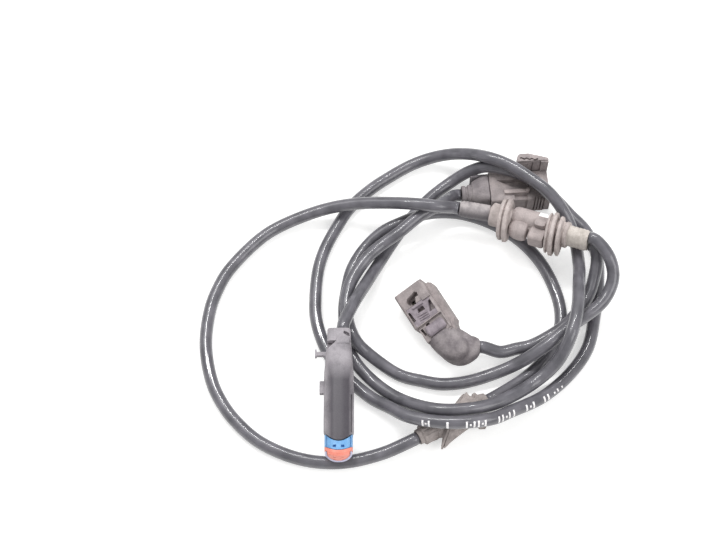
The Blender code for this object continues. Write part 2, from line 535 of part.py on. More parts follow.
def make_wheel_socket(looks):
    """Right-angled two-pole socket with a spring latch, a lock slide and a bulb-shaped boot."""
    roll = math.radians(WHEEL_ROLL)
    lowest = ((WHEEL_WIDTH / 2 - WHEEL_CORNER) * abs(math.sin(roll))
              + (WHEEL_HEIGHT / 2 - WHEEL_CORNER) * math.cos(roll) + WHEEL_CORNER)
    socket = frame_at("wheel_socket_frame", (*WHEEL_MIDDLE, lowest / MM), math.radians(WHEEL_HEADING), 0.0, roll)
    rear = WHEEL_REACH - WHEEL_LENGTH
    top = WHEEL_HEIGHT / 2
    housing = loft("wheel_socket_housing", [
        (rear, rounded(WHEEL_WIDTH - 1.6 * MM, WHEEL_HEIGHT - 1.2 * MM, WHEEL_CORNER)),
        (rear + 1.6 * MM, rounded(WHEEL_WIDTH - 1.6 * MM, WHEEL_HEIGHT - 1.2 * MM, WHEEL_CORNER)),
        (rear + 2.0 * MM, rounded(WHEEL_WIDTH, WHEEL_HEIGHT, WHEEL_CORNER)),
        (WHEEL_REACH, rounded(WHEEL_WIDTH, WHEEL_HEIGHT, WHEEL_CORNER)),
    ], socket, looks["housing"])
    rail = block("wheel_keying_rail", (rear + MM, -WHEEL_WIDTH / 2 - WHEEL_RAIL_PROUD, WHEEL_CORNER - top),
                 (WHEEL_REACH - 0.5 * MM, MM - WHEEL_WIDTH / 2, WHEEL_CORNER - top + WHEEL_RAIL_HEIGHT),
                 socket, looks["housing"])
    combine(housing, rail, "UNION")
    pocket_front = WHEEL_REACH - WHEEL_POCKET_MARGIN
    pocket_rear = pocket_front - WHEEL_POCKET_LENGTH
    pocket = block("wheel_pocket", (pocket_rear, -WHEEL_POCKET_WIDTH / 2, top - WHEEL_POCKET_DEPTH),
                   (pocket_front, WHEEL_POCKET_WIDTH / 2, top + MM), socket, looks["housing"])
    combine(housing, pocket, "DIFFERENCE")
    slide_front = pocket_rear - MM
    slide_rear = slide_front - SLIDE_LENGTH
    seat = block("wheel_slide_seat", (slide_rear - FIT, -SLIDE_WIDTH / 2 - FIT, top - SLIDE_DEPTH),
                 (slide_front + FIT, SLIDE_WIDTH / 2 + FIT, top + MM), socket, looks["housing"])
    combine(housing, seat, "DIFFERENCE")
    slide = block("wheel_socket_lock", (slide_rear, -SLIDE_WIDTH / 2, top - SLIDE_DEPTH + FIT),
                  (slide_front, SLIDE_WIDTH / 2, top + SLIDE_PROUD), socket, looks["housing"])
    soften(slide, 0.3 * MM)
    latch_low = top - WHEEL_POCKET_DEPTH + FIT
    latch_rear = pocket_rear + FIT
    latch_front = pocket_front - 1.8 * MM
    latch = prism("wheel_socket_latch", [
        (latch_rear, -WHEEL_POCKET_WIDTH / 2 + FIT), (latch_rear + 2 * MM, -WHEEL_POCKET_WIDTH / 2 + FIT),
        (latch_rear + 2 * MM, -LATCH_WIDTH / 2), (latch_front, -LATCH_WIDTH / 2),
        (latch_front, LATCH_WIDTH / 2), (latch_rear + 2 * MM, LATCH_WIDTH / 2),
        (latch_rear + 2 * MM, WHEEL_POCKET_WIDTH / 2 - FIT), (latch_rear, WHEEL_POCKET_WIDTH / 2 - FIT),
    ], latch_low, latch_low + LATCH_THICKNESS, socket, looks["housing"])
    window = block("wheel_latch_window", (latch_front - LATCH_WINDOW - 1.4 * MM, -LATCH_WINDOW / 2, 0),
                   (latch_front - 1.4 * MM, LATCH_WINDOW / 2, WHEEL_HEIGHT), socket, looks["housing"])
    combine(latch, window, "DIFFERENCE")
    nib = prism("wheel_latch_nib", [
        (latch_front - 1.3 * MM, -LATCH_WIDTH / 2), (latch_front, -LATCH_WIDTH / 2),
        (latch_front, LATCH_WIDTH / 2), (latch_front - 1.3 * MM, LATCH_WIDTH / 2),
    ], latch_low + LATCH_THICKNESS / 2, latch_low + 1.8 * LATCH_THICKNESS, socket, looks["housing"])
    combine(latch, nib, "UNION")
    add_contacts("wheel_socket", housing, WHEEL_REACH, socket, looks["contact"])

    boot_side = -3.0 * MM
    boot_level = -1.5 * MM
    bulb = bmesh.new()
    stretch = Matrix.Diagonal((1.0, 1.0, WHEEL_BOOT_HEIGHT / (2 * WHEEL_BOOT_RADIUS), 1.0))
    bmesh.ops.create_uvsphere(bulb, u_segments=32, v_segments=16, radius=WHEEL_BOOT_RADIUS,
                              matrix=Matrix.Translation((0, boot_side, boot_level)) @ stretch)
    boot = finish("wheel_socket_boot", bulb, socket, looks["rubber"])
    neck = loft("wheel_boot_neck", [
        (-2 * MM, [(y + boot_side, z + boot_level) for y, z in rounded(WHEEL_BOOT_NECK, WHEEL_BOOT_NECK, 3 * MM)]),
        (0.55 * rear, [(y + 0.6 * boot_side, z + 0.6 * boot_level)
                       for y, z in rounded(WHEEL_BOOT_NECK, WHEEL_BOOT_NECK, 3 * MM)]),
        (rear - FIT, rounded(WHEEL_BOOT_NECK, WHEEL_BOOT_NECK - MM, 2 * MM)),
    ], socket, looks["rubber"])
    exit_way = socket.matrix_world.to_3x3().inverted() @ Vector((1, 0.0, -0.12)).normalized()
    exit_turn = exit_way.to_track_quat("X", "Z").to_matrix().to_4x4()
    stub = turned("wheel_boot_exit", [
        (0, WHEEL_EXIT_RADIUS), (0.5 * WHEEL_EXIT_REACH, 0.97 * WHEEL_EXIT_RADIUS),
        (0.8 * WHEEL_EXIT_REACH, 0.84 * WHEEL_EXIT_RADIUS), (WHEEL_EXIT_REACH, 0.58 * WHEEL_EXIT_RADIUS),
    ], socket, looks["rubber"], 24)
    stub.data.transform(Matrix.Translation((0, boot_side, boot_level)) @ exit_turn)
    for extra in (neck, stub):
        combine(boot, extra, "UNION")
    out = socket.matrix_world.to_3x3() @ exit_way
    return socket.matrix_world @ Vector((0, boot_side, boot_level)) + (WHEEL_EXIT_REACH + FIT) * out, out


def make_wear_socket(looks):
    """Pad wear socket: conical boot, housing with a clip channel, rail, upright clip holder."""
    socket = frame_at("wear_socket_frame", (*WEAR_REAR, WEAR_HEIGHT / 2 / MM), math.radians(WEAR_HEADING))
    top = WEAR_HEIGHT / 2
    front_side = -WEAR_WIDTH / 2
    rear = WEAR_BOOT_LENGTH + FIT
    face = rear + WEAR_LENGTH
    small = rounded(2 * WEAR_BOOT_RADIUS, 2 * WEAR_BOOT_RADIUS, WEAR_BOOT_RADIUS - 0.2 * MM)
    necked = rounded(2 * (WEAR_BOOT_RADIUS - GLAND_GROOVE), 2 * (WEAR_BOOT_RADIUS - GLAND_GROOVE),
                     WEAR_BOOT_RADIUS - GLAND_GROOVE - 0.2 * MM)
    boot_width = WEAR_WIDTH - 2 * (SHIELD_INSET + SHIELD_THICKNESS + FIT)
    loft("wear_socket_boot", [
        (0, small), (GLAND_AT, small), (GLAND_AT + 0.1 * MM, necked), (GLAND_AT + 0.9 * MM, necked),
        (GLAND_AT + MM, small),
        (0.45 * WEAR_BOOT_LENGTH, rounded(0.78 * boot_width, 0.86 * WEAR_HEIGHT, 3.2 * MM)),
        (0.75 * WEAR_BOOT_LENGTH, rounded(0.94 * boot_width, 0.93 * WEAR_HEIGHT, 2.6 * MM)),
        (WEAR_BOOT_LENGTH, rounded(boot_width, 0.95 * WEAR_HEIGHT, 2.0 * MM)),
    ], socket, looks["rubber"])
    housing = loft("wear_socket_housing", [
        (rear, rounded(WEAR_WIDTH, WEAR_HEIGHT, WEAR_CORNER)),
        (face, rounded(WEAR_WIDTH, WEAR_HEIGHT, WEAR_CORNER)),
    ], socket, looks["housing"])
    channel_start = rear + CHANNEL_START
    cutters = [block("wear_channel", (channel_start, CHANNEL_SIDE - CHANNEL_WIDTH / 2, top - CHANNEL_DEPTH),
                     (channel_start + CHANNEL_LENGTH, CHANNEL_SIDE + CHANNEL_WIDTH / 2, top + MM),
                     socket, looks["housing"]),
               block("wear_panel", (rear + PANEL_AT, front_side - MM, -PANEL_HEIGHT / 2),
                     (rear + PANEL_AT + PANEL_LENGTH, front_side + PANEL_DEPTH, PANEL_HEIGHT / 2),
                     socket, looks["housing"])]
    for index in range(GRIP_COUNT):
        start = rear + GRIP_AT + index * GRIP_PITCH
        cutters.append(block(f"wear_grip_{index + 1}", (start, front_side - MM, -PANEL_HEIGHT / 2),
                             (start + GRIP_WIDTH, front_side + PANEL_DEPTH, WEAR_HEIGHT), socket, looks["housing"]))
    for cutter in cutters:
        combine(housing, cutter, "DIFFERENCE")
    rail_side = CHANNEL_SIDE - CHANNEL_WIDTH / 2 - RAIL_WIDTH
    rail_end = channel_start + RAIL_LENGTH
    rail = block("wear_socket_latch", (channel_start - MM, rail_side, top + FIT),
                 (rail_end, rail_side + RAIL_WIDTH, top + RAIL_HEIGHT), socket, looks["housing"])
    hook = block("wear_rail_hook", (rail_end - 1.4 * MM, rail_side, top + 0.5 * RAIL_HEIGHT),
                 (rail_end, rail_side + RAIL_WIDTH, top + RAIL_HOOK), socket, looks["housing"])
    combine(rail, hook, "UNION")
    add_contacts("wear_socket", housing, face, socket, looks["contact"])

    bracket_side = WEAR_WIDTH / 2 + FIT
    outer_side = bracket_side + BRACKET_THICKNESS
    bracket_top = BRACKET_HEIGHT - top
    bracket_start = face - BRACKET_LENGTH
    holder = prism("wear_clip_holder", [
        (bracket_start, bracket_side), (face, bracket_side), (face, bracket_side + BRACKET_THIN),
        (bracket_start + 0.42 * BRACKET_LENGTH, outer_side), (bracket_start + 0.12 * BRACKET_LENGTH, outer_side),
        (bracket_start, bracket_side + 0.5 * BRACKET_THICKNESS),
    ], -top, bracket_top, socket, looks["housing"])
    slot_start = bracket_start + 0.12 * BRACKET_LENGTH
    slot_side = bracket_side + 0.36 * BRACKET_THICKNESS
    slot = block("wear_clip_slot", (slot_start, slot_side, bracket_top - BRACKET_SLOT_DEPTH),
                 (slot_start + BRACKET_SLOT_LENGTH, slot_side + BRACKET_SLOT_WIDTH, bracket_top + MM),
                 socket, looks["housing"])
    groove_start = bracket_start + 0.5 * BRACKET_LENGTH
    groove = block("wear_clip_groove", (groove_start, bracket_side - MM, top - 3 * MM),
                   (groove_start + BRACKET_GROOVE, bracket_side + BRACKET_GROOVE, bracket_top - 1.4 * MM),
                   socket, looks["housing"])
    for cutter in (slot, groove):
        combine(holder, cutter, "DIFFERENCE")
    shield_side = WEAR_WIDTH / 2 - SHIELD_INSET
    block("wear_socket_shield", (SHIELD_START, shield_side - SHIELD_THICKNESS, -top),
          (WEAR_BOOT_LENGTH, shield_side, SHIELD_HEIGHT - top), socket, looks["housing"])
    return port(socket, 0)


def make_splitter(looks):
    """One cable in, two out: entry sleeve, grommet, twin-lobed body, grommet, branch sleeve."""
    splitter = frame_between("splitter_frame", SPLITTER_LEFT, SPLITTER_RIGHT)
    entry = frame_between("entry_sleeve_frame", ENTRY_SLEEVE_TIP_AT, SPLITTER_LEFT)
    entry_length = (Vector(SPLITTER_LEFT) - Vector(ENTRY_SLEEVE_TIP_AT)).length * MM
    entry_sleeve = turned("entry_sleeve", [(0, ENTRY_SLEEVE_TIP), (0.85 * entry_length, ENTRY_SLEEVE_RADIUS),
                                           (entry_length + 2 * MM, ENTRY_SLEEVE_RADIUS)], entry, looks["sleeve"], 24)
    trim = block("entry_trim", (-FIT, -DISC_RADIUS, -DISC_RADIUS), (DISC_RADIUS, DISC_RADIUS, DISC_RADIUS),
                 splitter, looks["sleeve"])
    combine(entry_sleeve, trim, "DIFFERENCE")
    disc = SPLITTER_COLLAR_LENGTH
    entry_end = disc + 2 * DISC_THICKNESS + DISC_GROOVE + MM
    turned("splitter_entry_grommet", [
        (0, 0.62 * SPLITTER_COLLAR_RADIUS), (0.9 * MM, 0.62 * SPLITTER_COLLAR_RADIUS),
        (MM, 0.92 * SPLITTER_COLLAR_RADIUS), (1.5 * MM, SPLITTER_COLLAR_RADIUS),
        (disc - 0.4 * MM, SPLITTER_COLLAR_RADIUS), (disc, 0.9 * DISC_RADIUS),
        (disc + 0.4 * MM, DISC_RADIUS), (disc + DISC_THICKNESS - 0.3 * MM, DISC_RADIUS),
        (disc + DISC_THICKNESS, DISC_GROOVE_RADIUS), (disc + DISC_THICKNESS + DISC_GROOVE, DISC_GROOVE_RADIUS),
        (disc + DISC_THICKNESS + DISC_GROOVE + 0.3 * MM, DISC_RADIUS),
        (disc + 2 * DISC_THICKNESS + DISC_GROOVE - 0.4 * MM, DISC_RADIUS),
        (disc + 2 * DISC_THICKNESS + DISC_GROOVE, 0.9 * DISC_RADIUS),
        (disc + 2 * DISC_THICKNESS + DISC_GROOVE + 0.2 * MM, SPLITTER_NECK), (entry_end, SPLITTER_NECK),
    ], splitter, looks["rubber"])

    start = entry_end + FIT
    end = start + SPLITTER_BODY_LENGTH
    body = turned("splitter_body", [
        (start, 0.8 * BODY_TUBE_RADIUS), (start + MM, BODY_TUBE_RADIUS),
        (end - MM, BODY_TUBE_RADIUS), (end, 0.9 * BODY_TUBE_RADIUS)], splitter, looks["housing"])
    body.data.transform(Matrix.Translation((0, BODY_SPREAD, 0.6 * MM)))
    lobe_end = end - BODY_BLOCK_LENGTH - BODY_WAIST_LENGTH
    lobe = turned("body_lobe", [
        (start, 0.6 * BODY_LOBE_RADIUS), (start + 1.5 * MM, 0.93 * BODY_LOBE_RADIUS),
        (start + 3 * MM, BODY_LOBE_RADIUS), (lobe_end, BODY_LOBE_RADIUS)], splitter, looks["housing"])
    lobe.data.transform(Matrix.Translation((0, -BODY_SPREAD, 0)))
    branch_block = loft("body_block", [
        (end - BODY_BLOCK_LENGTH, rounded(2 * BODY_LOBE_RADIUS, 1.8 * BODY_LOBE_RADIUS, 1.6 * MM)),
        (end, rounded(1.9 * BODY_LOBE_RADIUS, 1.7 * BODY_LOBE_RADIUS, 1.6 * MM)),
    ], splitter, looks["housing"])
    branch_block.data.transform(Matrix.Translation((0, -BODY_SPREAD, 0)))
    web = loft("body_web", [
        (start + 0.5 * MM, rounded(2 * BODY_SPREAD, 1.2 * BODY_TUBE_RADIUS, MM)),
        (end - 0.5 * MM, rounded(2 * BODY_SPREAD, 1.2 * BODY_TUBE_RADIUS, MM)),
    ], splitter, looks["housing"])
    for extra in (lobe, branch_block, web):
        combine(body, extra, "UNION")

    cuff_width = SLEEVE_HALF_WIDTH + CUFF_PROUD
    cuff_height = SLEEVE_HALF_HEIGHT + CUFF_PROUD
    first = end + FIT
    second = first + 2 * DISC_THICKNESS + DISC_GROOVE
    last = second + DISC_SPACING
    cuff = last + LAST_DISC_THICKNESS
    cuff_end = cuff + CUFF_LENGTH
    def ring(x, radius):
        return (x, oval(radius, radius))
    loft("splitter_exit_grommet", [
        ring(first, 0.9 * REAR_DISC_RADIUS), ring(first + 0.4 * MM, REAR_DISC_RADIUS),
        ring(first + DISC_THICKNESS - 0.3 * MM, REAR_DISC_RADIUS), ring(first + DISC_THICKNESS, DISC_GROOVE_RADIUS),
        ring(first + DISC_THICKNESS + DISC_GROOVE, DISC_GROOVE_RADIUS),
        ring(first + DISC_THICKNESS + DISC_GROOVE + 0.3 * MM, REAR_DISC_RADIUS),
        ring(second - 0.4 * MM, REAR_DISC_RADIUS), ring(second, 0.9 * REAR_DISC_RADIUS),
        (second + 0.2 * MM, oval(cuff_width, cuff_height)), (last - 0.2 * MM, oval(cuff_width, cuff_height)),
        ring(last, 0.9 * LAST_DISC_RADIUS), ring(last + 0.3 * MM, LAST_DISC_RADIUS),
        ring(cuff - 0.3 * MM, LAST_DISC_RADIUS), ring(cuff, 0.9 * LAST_DISC_RADIUS),
        (cuff + 0.2 * MM, oval(cuff_width, cuff_height)), (cuff_end, oval(cuff_width, cuff_height)),
    ], splitter, looks["rubber"])
    sleeve = cuff_end + FIT
    loft("branch_sleeve", [
        (sleeve, oval(SLEEVE_HALF_WIDTH, SLEEVE_HALF_HEIGHT)),
        (sleeve + 0.7 * SLEEVE_LENGTH, oval(SLEEVE_HALF_WIDTH, SLEEVE_HALF_HEIGHT)),
        (sleeve + SLEEVE_LENGTH, oval(0.9 * SLEEVE_HALF_WIDTH, 0.96 * SLEEVE_HALF_HEIGHT)),
    ], splitter, looks["sleeve"])
    spread = (CABLE_DIAMETER + FIT) / 2
    return (port(entry, 0), port(splitter, sleeve + SLEEVE_LENGTH, 0, spread, 1),
            port(splitter, sleeve + SLEEVE_LENGTH, 0, -spread, 1))


def make_grommet(looks):
    """Bulkhead grommet with an oblong flange that crosses the cable at a slant."""
    low = GROMMET_HALF_HEIGHT / MM
    grommet = frame_between("grommet_frame", (*GROMMET_LEFT, low), (*GROMMET_RIGHT, low))
    flange = GROMMET_FLANGE_AT
    ridge = 0.93 * GROMMET_FLANGE
    profile = [             # place, radius, share of the slant, toothed
        (0, GROMMET_NECK, 0, 0), (0.6 * MM, GROMMET_COLLAR, 0, 1),
        (GROMMET_COLLAR_LENGTH - 0.6 * MM, GROMMET_COLLAR, 0, 1),
        (GROMMET_COLLAR_LENGTH, GROMMET_NECK, 0, 0),
        (GROMMET_COLLAR_LENGTH + 1.2 * MM, GROMMET_NECK + 0.2 * MM, 0.15, 0),
        (flange - 2 * GROMMET_RIM, GROMMET_NECK + 0.6 * MM, 0.55, 0), (flange - 1.3 * GROMMET_RIM, ridge, 0.97, 0),
        (flange - GROMMET_RIM, GROMMET_FLANGE, 1, 0), (flange - 0.3 * GROMMET_RIM, GROMMET_FLANGE, 1, 0),
        (flange, ridge, 1, 0), (flange + 0.3 * GROMMET_RIM, GROMMET_FLANGE, 1, 0),
        (flange + 0.8 * GROMMET_RIM, GROMMET_FLANGE, 1, 0), (flange + 1.1 * GROMMET_RIM, ridge, 0.95, 0),
        (flange + 1.9 * GROMMET_RIM, 0.79 * GROMMET_FLANGE, 0.8, 0),
        (flange + 3 * GROMMET_RIM, 0.69 * GROMMET_FLANGE, 0.5, 0),
        (GROMMET_LIP_AT - 2 * MM, 0.62 * GROMMET_FLANGE, 0.2, 0),
        (GROMMET_LIP_AT - MM, GROMMET_NECK + 0.5 * MM, 0.05, 0),
        (GROMMET_LIP_AT - 0.7 * MM, GROMMET_LIP, 0, 1), (GROMMET_LIP_AT + 0.8 * MM, GROMMET_LIP, 0, 1),
        (GROMMET_LIP_AT + MM, GROMMET_NECK, 0, 0), (GROMMET_LENGTH, 0.92 * GROMMET_NECK, 0, 0),
    ]
    steps = 48
    stations = []
    body = bmesh.new()
    for x, radius, share, toothed in profile:
        spread = max(0.0, (radius - GROMMET_NECK) / (GROMMET_FLANGE - GROMMET_NECK))
        height = min(radius, GROMMET_NECK + (GROMMET_HALF_HEIGHT - GROMMET_NECK) * spread ** 0.5)
        ring = []
        for step in range(steps):
            turn = 2 * math.pi * step / steps
            tooth = 0.25 * MM if toothed and math.cos(GROMMET_TEETH * turn) < 0 else 0.0
            y = (radius - tooth) * math.cos(turn)
            z = (height - tooth) * math.sin(turn)
            ring.append(body.verts.new((x + GROMMET_SLANT * share * y, y, z)))
        stations.append(ring)
    for near, far in zip(stations, stations[1:]):
        for index in range(steps):
            after = (index + 1) % steps
            body.faces.new((near[index], near[after], far[after], far[index]))
    for end in (stations[0], stations[-1]):
        middle = body.verts.new(sum((vert.co for vert in end), Vector()) / steps)
        for index in range(steps):
            body.faces.new((end[index], end[(index + 1) % steps], middle))
    finish("bulkhead_grommet", body, grommet, looks["rubber"])
    return port(grommet, 0), port(grommet, GROMMET_LENGTH, way=1)


def main():
    clear_scene()
    looks = {
        "housing": material("glass_filled_nylon", (0.075, 0.07, 0.072), 0.55),
        "rubber": material("dusty_rubber", (0.16, 0.145, 0.135), 0.75),
        "sleeve": material("shrink_sleeve", (0.24, 0.22, 0.2), 0.7),
        "lock": material("blue_nylon", (0.08, 0.36, 0.85), 0.4),
        "seal": material("orange_silicone", (0.95, 0.16, 0.08), 0.45),
        "nose": material("lilac_nylon", (0.5, 0.48, 0.62), 0.4),
        "contact": material("tinned_brass", (0.7, 0.66, 0.58), 0.35, 1.0),
    }
    jacket = material("black_jacket", (0.012, 0.012, 0.014), 0.3)
    plug = make_plug(looks)
    wheel = make_wheel_socket(looks)
    wear = make_wear_socket(looks)
    entry, upper, lower = make_splitter(looks)
    grommet_left, grommet_right = make_grommet(looks)
    cable("cable_plug_to_grommet", plug, PLUG_TO_GROMMET, grommet_right, jacket)
    cable("cable_grommet_to_splitter", grommet_left, GROMMET_TO_SPLITTER, entry, jacket)
    cable("cable_to_wear_socket", upper, SPLITTER_TO_WEAR, wear, jacket)
    cable("cable_to_wheel_socket", lower, SPLITTER_TO_WHEEL, wheel, jacket)


main()
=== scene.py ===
# %% [markdown]
# # Brake pad wear sensor lead
#
# This lesson dresses a coiled sensor lead: a sealed plug, one long black cable, a bulkhead grommet,
# a splitter and two sockets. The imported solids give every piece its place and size. Each cell below
# adds one piece or one finish to them, in metres, with +Z up from the floor the lead lies on.

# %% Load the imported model
import json
import math

import bmesh
import bpy
from mathutils import Matrix, Vector


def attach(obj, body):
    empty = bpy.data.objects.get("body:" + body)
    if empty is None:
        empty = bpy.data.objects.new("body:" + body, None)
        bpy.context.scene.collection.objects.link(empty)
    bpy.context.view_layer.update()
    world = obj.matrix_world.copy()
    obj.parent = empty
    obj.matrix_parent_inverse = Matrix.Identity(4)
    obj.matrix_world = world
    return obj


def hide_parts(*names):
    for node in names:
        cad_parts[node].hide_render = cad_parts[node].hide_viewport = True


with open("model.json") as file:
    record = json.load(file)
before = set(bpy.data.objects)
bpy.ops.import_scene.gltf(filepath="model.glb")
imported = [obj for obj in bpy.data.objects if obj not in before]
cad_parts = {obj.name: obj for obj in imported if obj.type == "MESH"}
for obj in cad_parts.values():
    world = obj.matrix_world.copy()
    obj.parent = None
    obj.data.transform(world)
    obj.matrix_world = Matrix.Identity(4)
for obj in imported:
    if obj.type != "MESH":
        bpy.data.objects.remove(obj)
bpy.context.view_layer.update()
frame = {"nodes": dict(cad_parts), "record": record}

MM = 0.001


def add_object(name, data):
    """Add an object to the scene."""
    made = bpy.data.objects.new(name, data)
    bpy.context.collection.objects.link(made)
    return made


# %% [markdown]
# ## Camera
#
# The photograph was taken from 62 degrees above the floor, a little more than half a metre away. A
# long lens keeps the coil's ellipse and the sizes of the near and far pieces in proportion, so the
# camera is set up from those two facts and from the photograph's width in pixels.

# %% Camera
PHOTO_WIDTH = 722           # pixels
FOCAL_PIXELS = 1452
SENSOR = 36.0               # mm
CAMERA_PLACE = (-0.03814, -0.26706, 0.54121)
CAMERA_DOWN = 62            # degrees below level

camera_data = bpy.data.cameras.new("camera")
camera_data.sensor_fit = "HORIZONTAL"
camera_data.sensor_width = SENSOR
camera_data.lens = SENSOR * FOCAL_PIXELS / PHOTO_WIDTH
camera = add_object("camera", camera_data)
camera.location = CAMERA_PLACE
camera.rotation_euler = (math.radians(90 - CAMERA_DOWN), 0, 0)
bpy.context.scene.camera = camera
print("camera lens", round(camera_data.lens, 1), "mm")

# %% [markdown]
# ## Colours and nodes
#
# A colour is written as the sRGB value that an eye would read off the finished object, and one
# function turns it into the linear numbers that a shader works in. A second function adds any node
# with its settings and links, so that a material reads as a short list of what it is made of.

# %% Colour and node helpers
def linear(code):
    """An sRGB hex colour as the linear RGBA that a shader socket takes."""
    parts = [int(code[i:i + 2], 16) / 255 for i in (1, 3, 5)]
    return (*[p / 12.92 if p <= 0.04045 else ((p + 0.055) / 1.055) ** 2.4 for p in parts], 1.0)


def add_node(tree, kind, inputs, **settings):
    """Add one node, set its options, and set or link its inputs by name or number."""
    node = tree.nodes.new("ShaderNode" + kind)
    for name, value in settings.items():
        setattr(node, name, value)
    for key, value in inputs.items():
        if isinstance(value, bpy.types.NodeSocket):
            tree.links.new(value, node.inputs[key])
        else:
            node.inputs[key].default_value = value
    return node


def fresh_material(name):
    """A new material, the tree of its nodes and its shader."""
    look = bpy.data.materials.new(name)
    look.use_nodes = True
    return look, look.node_tree, look.node_tree.nodes["Principled BSDF"]


print("the middle grey #808080 in linear light:", [round(v, 4) for v in linear("#808080")[:3]])

# %% [markdown]
# ## Floor and light
#
# The lead lies on a white studio floor under large soft lamps, so its shadows are faint and short.
# The floor keeps a real diffuse surface, which holds the shadow, and adds some light of its own for
# the camera and for reflections, which lifts the rest to white. Two square lamps and an even white
# surround light the object itself at a plain level, and a long narrow lamp behind it draws the thin
# bright lines along the cables.

# %% Floor, surround and lamps
FLOOR_HALF = 3.0
FLOOR_LIFT = 0.50           # own light of the floor, where 1 is white
FLOOR_COLOUR = "#e9e9e8"
SURROUND_STRENGTH = 0.58
LAMPS = {                   # place in metres, width, height, power in watts
    "key_lamp": ((-0.30, 0.34, 0.78), 0.50, 0.50, 2.0),
    "strip_lamp": ((-0.12, 0.40, 0.86), 0.75, 0.04, 4.2),
    "fill_lamp": ((0.52, -0.36, 0.58), 0.50, 0.50, 2.5),
}

floor_mesh = bpy.data.meshes.new("floor")
corners = [(-FLOOR_HALF, -FLOOR_HALF, 0), (FLOOR_HALF, -FLOOR_HALF, 0),
           (FLOOR_HALF, FLOOR_HALF, 0), (-FLOOR_HALF, FLOOR_HALF, 0)]
floor_mesh.from_pydata(corners, [], [(0, 1, 2, 3)])
floor = add_object("floor", floor_mesh)

paper = bpy.data.materials.new("white_paper_floor")
paper.use_nodes = True
tree = paper.node_tree
tree.nodes.clear()
path = add_node(tree, "LightPath", {})
seen = add_node(tree, "Math", {0: path.outputs["Is Camera Ray"], 1: path.outputs["Is Glossy Ray"]},
                operation="MAXIMUM")
lift = add_node(tree, "Math", {0: seen.outputs[0], 1: FLOOR_LIFT}, operation="MULTIPLY")
diffuse = add_node(tree, "BsdfDiffuse", {"Color": linear(FLOOR_COLOUR), "Roughness": 1.0})
glow = add_node(tree, "Emission", {"Color": (1, 1, 1, 1), "Strength": lift.outputs[0]})
both = add_node(tree, "AddShader", {0: diffuse.outputs[0], 1: glow.outputs[0]})
add_node(tree, "OutputMaterial", {"Surface": both.outputs[0]})
floor.data.materials.append(paper)

world = bpy.data.worlds.new("surround")
bpy.context.scene.world = world
world.use_nodes = True
surround = world.node_tree.nodes["Background"]
surround.inputs["Color"].default_value = (1, 1, 1, 1)
surround.inputs["Strength"].default_value = SURROUND_STRENGTH

for name, (place, width, height, power) in LAMPS.items():
    data = bpy.data.lights.new(name, "AREA")
    data.shape = "RECTANGLE"
    data.size, data.size_y = width, height
    data.energy = power
    lamp = add_object(name, data)
    lamp.location = place
    lamp.rotation_euler = (-Vector(place)).to_track_quat("-Z", "Y").to_euler()

bpy.context.scene.view_settings.view_transform = "Standard"
print("floor", 2 * FLOOR_HALF, "m wide, lifted by", FLOOR_LIFT, "under", len(LAMPS), "lamps")

# %% [markdown]
# ## Cable jacket: extruded polyurethane
#
# The jacket is black polyurethane, extruded in one go over the cores. Extrusion leaves it smooth and
# softly glossy along its length, and winding leaves it very slightly wavy, which breaks the lamp's
# reflection into short bright dashes. The wave is drawn in millimetres along the tube's own UV map,
# so every cable carries it at the same size. The photograph's haze lifts the black to a middle grey,
# and the colours are written as they read there.

# %% Jacket material
JACKET_WAVE = 7.0           # mm between two soft waves along the cable
JACKET_WAVE_DEPTH = 0.15    # mm
JACKET_GRAIN = 0.9          # mm, coarser than the real 0.1 mm so that it shows
JACKET_GRAIN_DEPTH = 0.03   # mm
JACKET_CLEAN, JACKET_DUSTY = "#515056", "#6d6b72"


def polyurethane_jacket():
    look, tree, shader = fresh_material("extruded_polyurethane")
    along = add_node(tree, "UVMap", {}, uv_map="millimetres")
    stretched = add_node(tree, "Mapping",
                         {"Vector": along.outputs[0], "Scale": (1 / JACKET_WAVE, 0.6 / JACKET_WAVE, 1)})
    wave = add_node(tree, "TexNoise", {"Vector": stretched.outputs[0], "Scale": 1.0, "Detail": 2.0})
    fine = add_node(tree, "Mapping",
                    {"Vector": along.outputs[0], "Scale": (0.25 / JACKET_GRAIN, 1 / JACKET_GRAIN, 1)})
    grain = add_node(tree, "TexNoise", {"Vector": fine.outputs[0], "Scale": 1.0, "Detail": 3.0})
    dusty = add_node(tree, "MapRange", {"Value": wave.outputs[0], "From Min": 0.35, "From Max": 0.72})
    colour = add_node(tree, "Mix", {0: dusty.outputs[0], 6: linear(JACKET_CLEAN), 7: linear(JACKET_DUSTY)},
                      data_type="RGBA")
    gloss = add_node(tree, "MapRange", {"Value": grain.outputs[0], "From Min": 0.3, "From Max": 0.7,
                                        "To Min": 0.4, "To Max": 0.52})
    waves = add_node(tree, "Bump", {"Height": wave.outputs[0], "Strength": 0.5, "Distance": JACKET_WAVE_DEPTH * MM})
    relief = add_node(tree, "Bump", {"Height": grain.outputs[0], "Normal": waves.outputs[0],
                                     "Strength": 0.3, "Distance": JACKET_GRAIN_DEPTH * MM})
    tree.links.new(colour.outputs[2], shader.inputs["Base Color"])
    tree.links.new(gloss.outputs[0], shader.inputs["Roughness"])
    tree.links.new(relief.outputs[0], shader.inputs["Normal"])
    shader.inputs["IOR"].default_value = 1.5
    shader.inputs["Coat Weight"].default_value = 0.7
    shader.inputs["Coat Roughness"].default_value = 0.04
    return look


jacket = polyurethane_jacket()
print("jacket wave every", JACKET_WAVE, "mm")

# %% [markdown]
# ## The four cables
#
# Each cable is a fixed length of flexible lead, so it is built from the line that its middle follows
# over the floor and over the other strands. A smooth curve through the route's points is read every
# millimetre and a half, and a ring of points is carried along it without twist. That gives one even
# tube, with a UV map in millimetres for the jacket's texture and for the print on it.

